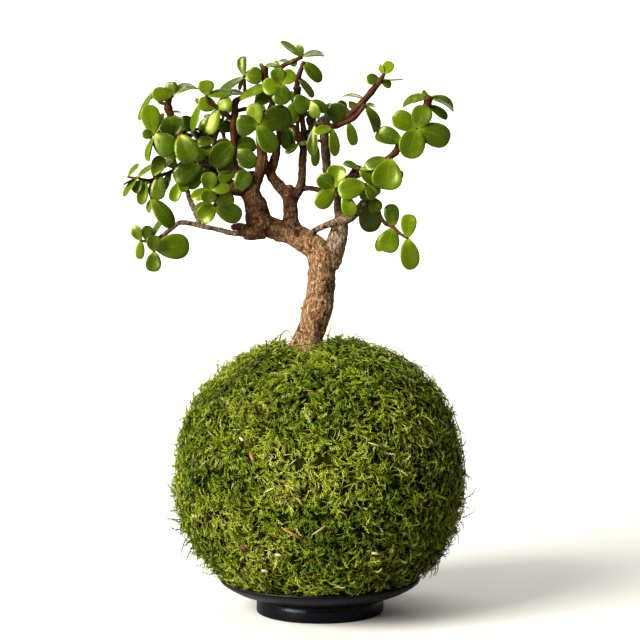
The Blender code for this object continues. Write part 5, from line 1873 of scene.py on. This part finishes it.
@dataclass
class MossBall:
    """The moss: a bumpy mat over the soil, thousands of strands, taller sprigs and caught straw.

    Attributes:
        shape: the ball's form.
        mat_finish: of the mat.
        strand_finish: of the strands and sprigs.
        straw_finish: of the dry bits.
        inset: how far the mat lies inside the ball's form.
        tuft: depth of the broad and of the finer tufts.
        straw_sides: points round a dry bit.
        sprig_sides: points round a sprig.
        mat_grid: rings and sides of the mat.
        strands: how many plain strands there are.
        sprays: how many strands carry leaflets.
        leaflets: on each of those.
        sectors: pieces the strands are shared among, round the ball.
        length: shortest and longest strand.
        girth: thinnest and thickest strand's radius.
        stray: the share of strands that are half as long again.
        seed: picks the strands.
    """

    shape: BallShape
    mat_finish: Material
    strand_finish: Material
    straw_finish: Material
    inset: float = 2.6
    tuft: float = 1.9
    straw_sides: int = 7
    sprig_sides: int = 5
    mat_grid: tuple[int, int] = (120, 220)
    strands: int = 13000
    sprays: int = 18500
    leaflets: int = 9
    sectors: int = 8
    length: tuple[float, float] = (3.6, 8.6)
    girth: tuple[float, float] = (0.27, 0.5)
    stray: float = 0.05
    seed: int = 12

    def swell(self, points: Array) -> Array:
        """How far tufts push the surface out at each point.

        It is broad and finer noise, raised on the left and beside the trunk by exp(-d^2) of the
        distance d in widths, and sunk in front of the trunk's foot.

        Args:
            points: one row for each point.

        Returns:
            A distance for each point.
        """
        x, y, z = (points[..., axis] for axis in range(3))
        tufts = self.tuft * lattice_noise(points, 17, 41)
        tufts = tufts + self.tuft * lattice_noise(points, 7, 42) - 1.1
        left = 1.8 * np.exp(-(((x + 85) / 26) ** 2) - ((z - 80) / 24) ** 2)
        beside = 1.6 * np.exp(-(((np.abs(x + 8) - 26) / 11) ** 2) - (y / 30) ** 2) * (z > 120)
        foot = 6.8 * np.exp(-(((x + 8) / 12) ** 4) - ((y + 22) / 28) ** 4) * (z > 120)
        return tufts + left + beside - foot

    def build_mat(self) -> None:
        """Makes the mat: the ball's form moved in by inset, out by the swell and by fine noise."""
        rings, sides = self.mat_grid
        polar = np.linspace(0.02, math.pi - 0.02, rings)[:, None]
        azimuth = (np.arange(sides) * 360 / sides)[None, :]
        azimuth, polar = np.broadcast_arrays(azimuth, polar)
        points, normals = self.shape.points(azimuth, polar)
        shift = self.swell(points) + 0.7 * layered_noise(points, 3.2, 2, 51) - self.inset
        rings = points + normals * shift[..., None]
        rings[..., 2] = np.maximum(rings[..., 2], self.shape.flat)
        uv = np.stack((azimuth / 360, polar / math.pi), axis=-1)
        low = rings[0].mean(axis=0)
        high = rings[-1].mean(axis=0)
        shell = tubes(rings[None], low[None], high[None], uv[None], np.array([PLAIN]))
        piece = make_piece("moss_mat", [shell], [self.mat_finish])
        settle(piece, MaterialSlot.MOSS, "moss_cover")

    def scatter(self, count: int, random: Draws) -> tuple[Array, Array]:
        """Angles spread evenly over the ball's visible surface, by the area below each polar angle.

        Args:
            count: how many.
            random: the source of the draws.

        Returns:
            Azimuths in degrees and polar angles in radians.
        """
        polar = np.linspace(0.5, math.pi - 0.03, 400)
        ring, _ = self.shape.points(np.zeros(len(polar)), polar)
        area = ring[1:, 0] * np.linalg.norm(np.diff(ring, axis=0), axis=1)
        below = np.concatenate(([0], np.cumsum(area))) / area.sum()
        return random.uniform(0, 360, count), np.interp(random.uniform(0, 1, count), below, polar)

    def strand_tubes(self, moss: Strands) -> Shell:
        """Tapering three-sided strands: the radius is girth (0.9 (1 - t)^0.6 + 0.1) at share t.

        Args:
            moss: the strands.

        Returns:
            The strands as one shell.
        """
        t = np.linspace(0, 0.94, 4)[None, :, None]
        _, across, above = moss.frames(t)
        turn = np.arange(3) * 2 * math.pi / 3
        radius = moss.girth[:, None, None] * ((1 - t) ** 0.6 * 0.9 + 0.1)
        circle = np.cos(turn)[:, None] * across[:, :, None]
        circle = circle + np.sin(turn)[:, None] * above[:, :, None]
        rings = moss.at(t)[:, :, None] + radius[..., None] * circle
        tips = moss.at(np.ones((1, 1, 1)))[:, 0]
        hue, share, _ = np.broadcast_arrays(moss.hue[:, None, None], t, np.zeros((1, 1, 3)))
        tone = np.full(len(moss.roots), PLAIN)
        return tubes(rings, moss.roots, tips, np.stack((hue, share), axis=-1), tone)

    def leaflet_spikes(self, moss: Strands) -> Shell:
        """Leaflets: spikes with a three-sided foot, aimed forward, out and to each side in turn.

        Args:
            moss: the strands that carry them.

        Returns:
            The leaflets as one shell.
        """
        count = self.leaflets
        t = np.linspace(0.22, 0.92, count)[None, :, None]
        ahead, across, above = moss.frames(t)
        hand = np.where(np.arange(count) % 2, 1.0, -1.0)[None, :, None]
        spread = 0.25 * np.sin(np.arange(count) * 2.4)[None, :, None] + 0.3
        aim = unit(0.75 * ahead + hand * across + spread * above)
        foot = moss.at(t)
        size = moss.girth[:, None, None] * (1.25 - 0.4 * t)
        reach = moss.girth[:, None, None] * (4.6 - 2.2 * t)
        flat = unit(np.cross(aim, above))
        upright = np.cross(flat, aim)
        heel = foot + 0.5 * size * upright - 0.3 * size * aim
        spikes = [foot + size * flat, foot - size * flat, heel, foot + reach * aim]
        points = np.stack(spikes, axis=2).reshape(-1, 3)
        faces = np.array(((0, 1, 3), (1, 2, 3), (2, 0, 3), (0, 2, 1)))
        start = (np.arange(len(points) // 4) * 4)[:, None, None]
        rise = np.broadcast_to(t + np.array((0.0, 0.0, 0.0, 0.22)), (len(moss.hue), count, 4))
        uv = np.column_stack((np.repeat(moss.hue, count * 4), np.clip(rise.reshape(-1), 0, 1)))
        tris = (faces[None] + start).reshape(-1, 3)
        return Shell(points, np.zeros((0, 4), int), tris, uv, np.full(len(points), PLAIN))

    def hues(self, points: Array, random: Draws) -> Array:
        """Each strand's number for its colour: green, browner in patches and at the right foot.

        Args:
            points: one row for each strand.
            random: the source of the draws.

        Returns:
            The numbers.
        """
        patch = lattice_noise(points, 21, 61)
        small = lattice_noise(points, 5, 62) + 0.9 * lattice_noise(points, 7, 42)
        x, y, z = points.T
        bright = np.exp(-(((x + 28) / 36) ** 2) - ((z - 58) / 36) ** 2) * (y < 0)
        hue = 0.6 + 0.15 * bright + 0.29 * patch + 0.14 * small
        hue = hue + random.normal(0, 0.11, len(points))
        right = np.exp(-(((x - 40) / 13) ** 2) - ((z - 25) / 9) ** 2) * (y < 0)
        wear_and_highlight = np.clip(lattice_noise(points, 8, 63) - 0.25, 0, 1)
        dry = random.uniform(0, 1, len(points)) < 0.07 + 0.5 * right + 0.5 * wear_and_highlight
        hue = np.where(dry, 0.12 + 0.1 * random.uniform(-1, 1, len(points)), hue)
        pale = random.uniform(0, 1, len(points)) < 0.04
        return np.where(pale, 0.95, np.clip(hue, 0.01, 0.84))

    def build_strands(self) -> None:
        """Makes the strands, combed by slow noise so that neighbours lie alike."""
        random = np.random.default_rng(self.seed)
        plain = self.strands_for(self.strands, (0.2, 1.3), random)
        leafy = self.strands_for(self.sprays, (0.35, 2.1), random)
        for number in range(self.sectors):
            bare, full = (moss.pick(moss.sector(self.sectors) == number) for moss in (plain, leafy))
            shells = [self.strand_tubes(bare), self.strand_tubes(full), self.leaflet_spikes(full)]
            piece = make_piece(f"moss_strands_{number + 1}", shells, [self.strand_finish], "OFBake")
            settle(piece, MaterialSlot.MOSS)

    def strands_for(self, count: int, lift: tuple[float, float], random: Draws) -> Strands:
        """Draws strands at random over the ball, combed a little by slow noise.

        Args:
            count: how many.
            lift: flattest and steepest start, as rise over run.
            random: the source of the draws.

        Returns:
            The strands.
        """
        azimuth, polar = self.scatter(count, random)
        points, normals = self.shape.points(azimuth, polar)
        roots = points + normals * (self.swell(points) - self.inset - 0.4)[:, None]
        comb = 2.4 * math.pi * lattice_noise(points, 9, 71) + random.normal(0, 0.95, count)
        east = unit(np.cross((0.0, 0.0, 1.0), normals))
        north = np.cross(normals, east)
        heading = east * np.cos(comb)[:, None] + north * np.sin(comb)[:, None]
        heading = unit(heading + np.array((0, 0, -0.25)) * (1 - np.abs(normals[:, 2:])))
        length = random.uniform(*self.length, count)
        length = length * np.where(random.uniform(0, 1, count) < self.stray, 1.5, 1.0)
        girth = random.uniform(*self.girth, count)
        rise = random.uniform(*lift, count)
        moss = Strands(roots, normals, heading, length, girth, rise, self.hues(points, random))
        tips = roots + length[:, None] * (heading + normals * (0.5 * moss.lift - 0.1)[:, None])
        rest = np.interp(np.hypot(tips[:, 0], tips[:, 1]), *DISH_TOP)
        return moss.pick(tips[:, 2] > rest)

    def build_straw(self) -> None:
        """Makes the dry bits: short bent tubes laid on the front of the ball."""
        shells = []
        for (start, end), radius, tone in STRAWS:
            points = []
            for t in (0, 0.3, 0.65, 1):
                x, z = (first + (last - first) * t for first, last in zip(start, end))
                points.append(self.shape.front(x, z, 1.6 + 1.2 * math.sin(t * 3)))
            route = Route(np.array(points), np.array((0.6, 1, 1, 0.5)) * radius, 1)
            shells.append(route_tube(route, self.straw_sides, tone))
        piece = make_piece("moss_straw", shells, [self.straw_finish])
        settle(piece, MaterialSlot.MOSS)

    def build_sprigs(self) -> None:
        """Makes the taller sprigs round the foot of the trunk."""
        shells = []
        for spots, hue in SPRIGS:
            route = Route.through(spots, 6)
            shell = route_tube(route, self.sprig_sides, PLAIN)
            shell.uv[:, 1] = np.clip(shell.uv[:, 1] / shell.uv[:, 1].max(), 0, 1) * 0.9 + 0.1
            shell.uv[:, 0] = hue
            shells.append(shell)
        piece = make_piece("moss_sprigs", shells, [self.strand_finish], "OFBake")
        settle(piece, MaterialSlot.MOSS)

    def build(self) -> None:
        """Makes all the moss."""
        self.build_mat()
        self.build_strands()
        self.build_sprigs()
        self.build_straw()


# Radii on the dish, and how high a strand's tip must stay there to lie over it
DISH_TOP = ((36, 42, 48, 54, 60, 66), (12.6, 13.1, 14.7, 17.6, 21.0, 21.0))

# Dry bits on the front of the ball: their ends on the drawing, radius and tone
STRAWS = [
    (((-23, 49.5), (-11, 42.5)), 0.8, 0.5),
    (((-47.5, 39), (-44, 35.5)), 1.1, 0.1),
    (((-45.5, 38.5), (-47, 35)), 0.9, 0.05),
    (((-27, 33.4), (-23, 32.6)), 0.8, 1.0),
    (((-35, 23.8), (-31, 23.2)), 0.8, 0.9),
    (((31, 34.3), (36, 33.6)), 0.8, 0.95),
    (((-5, 45), (4, 51)), 0.3, 0.95),
    (((-21, 75), (-13, 71.4)), 0.7, 0.72),
    (((-14, 67.6), (-10.2, 62.8)), 0.7, 0.66),
    (((-42, 94), (-39.6, 89)), 0.9, 0.55),
    (((-48, 103.4), (-45.8, 101.4)), 0.9, 1.0),
    (((-66, 99.6), (-63.8, 94.8)), 0.9, 0.15),
    (((10, 60.4), (16, 57)), 0.5, 0.75),
    (((29, 100.6), (37.5, 97.8)), 0.4, 0.95),
    (((-33, 70.8), (-27, 73.6)), 0.4, 0.95),
]

# Taller sprigs: their spots on the drawing and colour number
SPRIGS = [
    ([
        (-24.5, 161, -6, 0.5), (-23, 165.5, -6, 0.45), (-20, 167.7, -6, 0.4),
        (-17.4, 165.6, -6, 0.3), (-17, 162.5, -6, 0.2),
    ], 0.6),
    ([
        (4.4, 160, -8, 0.6), (5, 165, -8, 0.55), (6.6, 170.5, -9, 0.45), (7.2, 173.5, -9, 0.2),
    ], 0.85),
    ([(12, 160, -4, 0.5), (13, 164.5, -4, 0.45), (13.4, 168, -4, 0.2)], 0.7),
    ([(17, 159, -6, 0.5), (17.4, 162.5, -6, 0.4), (17.8, 165.6, -6, 0.2)], 0.6),
]


@dataclass
class Binding:
    """The thread that holds the moss: turns round the ball that pass beside the trunk.

    Attributes:
        shape: the ball's form.
        finish: of the thread.
        radius: of the thread.
        lift: from the ball's surface to the middle of the thread.
        offset: from the middle of the ball to the plane of a turn.
        level: height of the lengths under the ball.
        turns: how many there are.
        first: degrees round the ball of the first turn.
        steps: points on a turn.
        sides: points round the thread.
    """

    shape: BallShape
    finish: Material
    radius: float = 0.24
    lift: float = 1.5
    offset: float = 27.0
    level: float = 12.4
    turns: int = 3
    first: float = 75.0
    steps: int = 220
    sides: int = 6

    def loop(self, azimuth: float) -> Route:
        """One turn, from the bottom round to the bottom: the ball's form cut by an upright plane.

        Args:
            azimuth: degrees round the ball that the plane faces.

        Returns:
            The turn's route.
        """
        ball = self.shape
        radius = ball.radius + self.lift
        angle = np.linspace(-0.5 * math.pi, 1.5 * math.pi, self.steps)
        inner = (1 - (self.offset / radius) ** ball.power) ** (1 / ball.power)
        share = inner * np.abs(np.sin(angle)) ** (2 / ball.power)
        reach = np.where(np.sin(angle) > 0, ball.rise + self.lift, -ball.drop - self.lift)
        ring = radius * (1 - share**ball.power) ** (1 / ball.power)
        out = np.sign(np.cos(angle)) * np.sqrt(np.maximum(ring**2 - self.offset**2, 0))
        height = np.maximum(ball.waist + share * reach, self.level)
        bearing = math.radians(azimuth)
        along = np.array((math.cos(bearing), math.sin(bearing), 0))
        aside = np.array((-math.sin(bearing), math.cos(bearing), 0)) * self.offset
        points = along * out[:, None] + aside
        points[:, 2] = height
        dip = 0.5 * lattice_noise(points, 6, 81)
        points = points + unit(points - (0, 0, ball.waist)) * np.where(height > 20, dip, 0)[:, None]
        return Route(points, np.full(self.steps, self.radius), 1)

    def build(self) -> None:
        """Makes the turns as one piece."""
        azimuths = (self.first + turn * 360 / self.turns for turn in range(self.turns))
        shells = [route_tube(self.loop(azimuth), self.sides, PLAIN) for azimuth in azimuths]
        piece = make_piece("binding", shells, [self.finish])
        settle(piece, MaterialSlot.THREAD, "binding_thread")


# ---------------------------------------------------------------- dish and studio


@dataclass
class Dish:
    """The turned dish: solid foot, curved underside, rounded rim and shallow well.

    Attributes:
        finish: of the glaze.
        foot_radius: of the foot's side.
        foot_edge: radius of the foot's rounded edge.
        foot_height: where the underside starts.
        well_height: of the flat the ball rests on.
        wall: thickness of the rim.
        sides: points round it.
    """

    finish: Material
    foot_radius: float = 38.0
    foot_edge: float = 1.1
    foot_height: float = 9.2
    well_height: float = 11.8
    wall: float = 1.5
    sides: int = 160

    def profile(self) -> Array:
        """The outline from the axis at the bottom out to the rim and back, as splines and arcs.

        Returns:
            Rows of radius and height.
        """
        rim, _, top = (float(value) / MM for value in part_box("dish")[1])
        foot = self.foot_radius
        well = self.well_height
        edge = self.foot_edge
        arc = np.linspace(0, math.pi / 2, 6)
        toe = [(foot - edge + edge * math.sin(a), edge - edge * math.cos(a)) for a in arc]
        under = Route.through(
            [
                (foot, 6.0, 0, 0), (foot - 0.5, 8.4, 0, 0),
                (foot + 1.2, self.foot_height + 0.5, 0, 0), (43, 10.5, 0, 0), (50, 12.9, 0, 0),
                (56, 16.0, 0, 0), (rim - 0.5, top - 1.6, 0, 0),
            ],
            8,
        ).points[:, (0, 2)]
        middle = (rim - self.wall / 2 - 0.2, top - self.wall / 2)
        lip = [
            (middle[0] + self.wall / 2 * math.cos(a) + 0.1, middle[1] + self.wall / 2 * math.sin(a))
            for a in np.linspace(-0.2, 0.85 * math.pi, 10)
        ]
        inside = Route.through(
            [
                (rim - 2.2, top - 1.2, 0, 0), (54, 16.8, 0, 0), (48, 13.9, 0, 0),
                (42, 12.3, 0, 0), (36, well, 0, 0), (20, well, 0, 0), (2, well, 0, 0),
            ],
            6,
        ).points[:, (0, 2)]
        return np.vstack(((2, 0), (foot / 2, 0), toe, under, lip, inside))

    def build(self) -> None:
        """Makes the dish."""
        piece = make_piece("glazed_dish", [lathe(self.profile(), self.sides)], [self.finish])
        settle(piece, MaterialSlot.DISH, "dish")


# Lights: name, place, the point it is turned to, size, power and colour
LAMPS: list[tuple[str, Point, Point, float, float, Colour]] = [
    ("window", (-1.45, -1.15, 1.0), (0, 0, 0.2), 1.15, 112.0, (1.0, 0.97, 0.92)),
    ("fill", (1.5, -1.2, 0.8), (0, 0, 0.2), 1.4, 1.0, (0.95, 0.97, 1.0)),
    ("back", (0.5, 1.4, 1.4), (0, 0, 0.25), 1.0, 7.0, (1.0, 0.98, 0.95)),
    ("wall", (-0.3, 0.9, 2.3), (-0.3, 3.1, 0.7), 1.6, 46.0, (1.0, 0.99, 0.97)),
]
SKY_COLOUR: Colour = (1.0, 0.98, 0.95)
SKY_STRENGTH = 0.36


@dataclass
class Studio:
    """A pale floor that curves up to a far round wall, soft lights and a level camera.

    Attributes:
        effects: the shared shader node groups.
        reach: radius of the wall in metres.
        bend: radius of the curve from floor to wall.
        height: of the wall.
        sides: points round the wall.
        lens: focal length in millimetres.
        sensor: width of the camera's sensor.
    """

    effects: Effects
    reach: float = 3.2
    bend: float = 2.4
    height: float = 2.6
    sides: int = 96
    lens: float = 77.0
    sensor: float = 36.0

    def floor(self) -> None:
        """Makes the floor and wall, one turned sheet."""
        arc = np.linspace(0, math.pi / 2, 16)
        start = self.reach - self.bend
        rows = [(0.01, 0.0), (0.4, 0.0)]
        rows += [(start + self.bend * math.sin(a), self.bend * (1 - math.cos(a))) for a in arc]
        rows.append((self.reach, self.height))
        out, up = (np.array(rows) / MM).T[..., None]
        turn = np.arange(self.sides) * 2 * math.pi / self.sides
        rings = np.stack(np.broadcast_arrays(out * np.cos(turn), out * np.sin(turn), up), axis=-1)
        points = np.vstack((rings.reshape(-1, 3), (0, 0, 0)))
        side = np.arange(self.sides)
        after = (side + 1) % self.sides
        low = (np.arange(len(rows) - 1) * self.sides)[:, None]
        high = low + self.sides
        quads = np.stack((low + side, high + side, high + after, low + after), axis=-1)
        quads = quads.reshape(-1, 4)
        tris = np.stack((side, after, np.full(self.sides, len(points) - 1)), axis=-1)
        shell = Shell(points, quads, tris, np.zeros((len(points), 2)), np.zeros(len(points)))
        finish = FloorFinish("pale floor", 0.8).make(self.effects)
        make_piece("studio_floor", [shell], [finish])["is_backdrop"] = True

    @staticmethod
    def lamp(name: str, at: Point, aim: Point, size: float, power: float, colour: Colour) -> None:
        """Adds a square area light.

        Args:
            name: the light's name.
            at: its place in metres.
            aim: the point it is turned to.
            size: its side in metres.
            power: in watts.
            colour: of its light.
        """
        data = bpy.data.lights.new(name, "AREA")
        data.shape = "SQUARE"
        data.size = size
        data.energy = power
        data.color = colour
        lamp = bpy.data.objects.new(name, data)
        bpy.context.scene.collection.objects.link(lamp)
        lamp.location = at
        away = unit(np.array(at) - np.array(aim))
        side = unit(np.cross((0, 0, 1), away))
        above = np.cross(away, side)
        lamp.rotation_mode = "QUATERNION"
        lamp.rotation_quaternion = Matrix((side, above, away)).transposed().to_quaternion()

    def lights(self) -> None:
        """Adds the lights and the sky."""
        for lamp in LAMPS:
            self.lamp(*lamp)
        world = bpy.data.worlds.new("studio sky")
        bpy.context.scene.world = world
        world.use_nodes = True
        sky = world.node_tree.nodes["Background"]
        sky.inputs["Color"].default_value = (*SKY_COLOUR, 1)
        sky.inputs["Strength"].default_value = SKY_STRENGTH

    def camera(self) -> None:
        """Adds the level camera at the sight point."""
        data = bpy.data.cameras.new("level view")
        data.lens = self.lens
        data.sensor_width = self.sensor
        camera = bpy.data.objects.new("level view", data)
        bpy.context.scene.collection.objects.link(camera)
        camera.location = (0, -SIGHT_DISTANCE * MM, SIGHT_HEIGHT * MM)
        camera.rotation_euler = (math.pi / 2, 0, 0)
        bpy.context.scene.camera = camera

    def build(self) -> None:
        """Sets up the studio."""
        self.floor()
        self.lights()
        self.camera()
        bpy.context.scene.view_settings.view_transform = "Standard"


def corners() -> list[list[float]]:
    """The lowest and highest corner of what is shown, as plain lists."""
    return [[float(value) for value in corner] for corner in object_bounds()]


def dress_soil(finish: Material, frame: dict[str, Any]) -> None:
    """Gives the frame's ball of soil its finish."""
    for slot in frame["nodes"]["soil_ball"].material_slots:
        slot.material = finish


def main() -> None:
    """Builds the plant, the ball, the dish and the studio."""
    logging.basicConfig(level=logging.INFO, format="%(name)s: %(message)s")
    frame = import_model()
    effects = Effects()
    shape = BallShape.from_frame()
    dress_soil(SoilFinish("damp soil", 0.9, 0.5).make(effects), frame)
    Wood(BarkFinish("bark", 0.72, 0.6).make(effects)).build()
    leaf = LeafFinish("leaf", 0.25, 0.02).make(effects)
    stem = StemFinish("young stem", 0.5, 0.12).make(effects)
    Foliage(leaf, stem).build()
    mat = MatFinish("moss mat", 0.95, 0.8).make(effects)
    strand = StrandFinish("moss strand", 0.62).make(effects)
    straw = StrawFinish("dry straw", 0.8, 0.2).make(effects)
    MossBall(shape, mat, strand, straw).build()
    Binding(shape, ThreadFinish("thread", 0.8, 0.08).make(effects)).build()
    Dish(GlazeFinish("black glaze", 0.28, 0.05).make(effects)).build()
    Studio(effects).build()


if __name__ == "__main__":
    main()
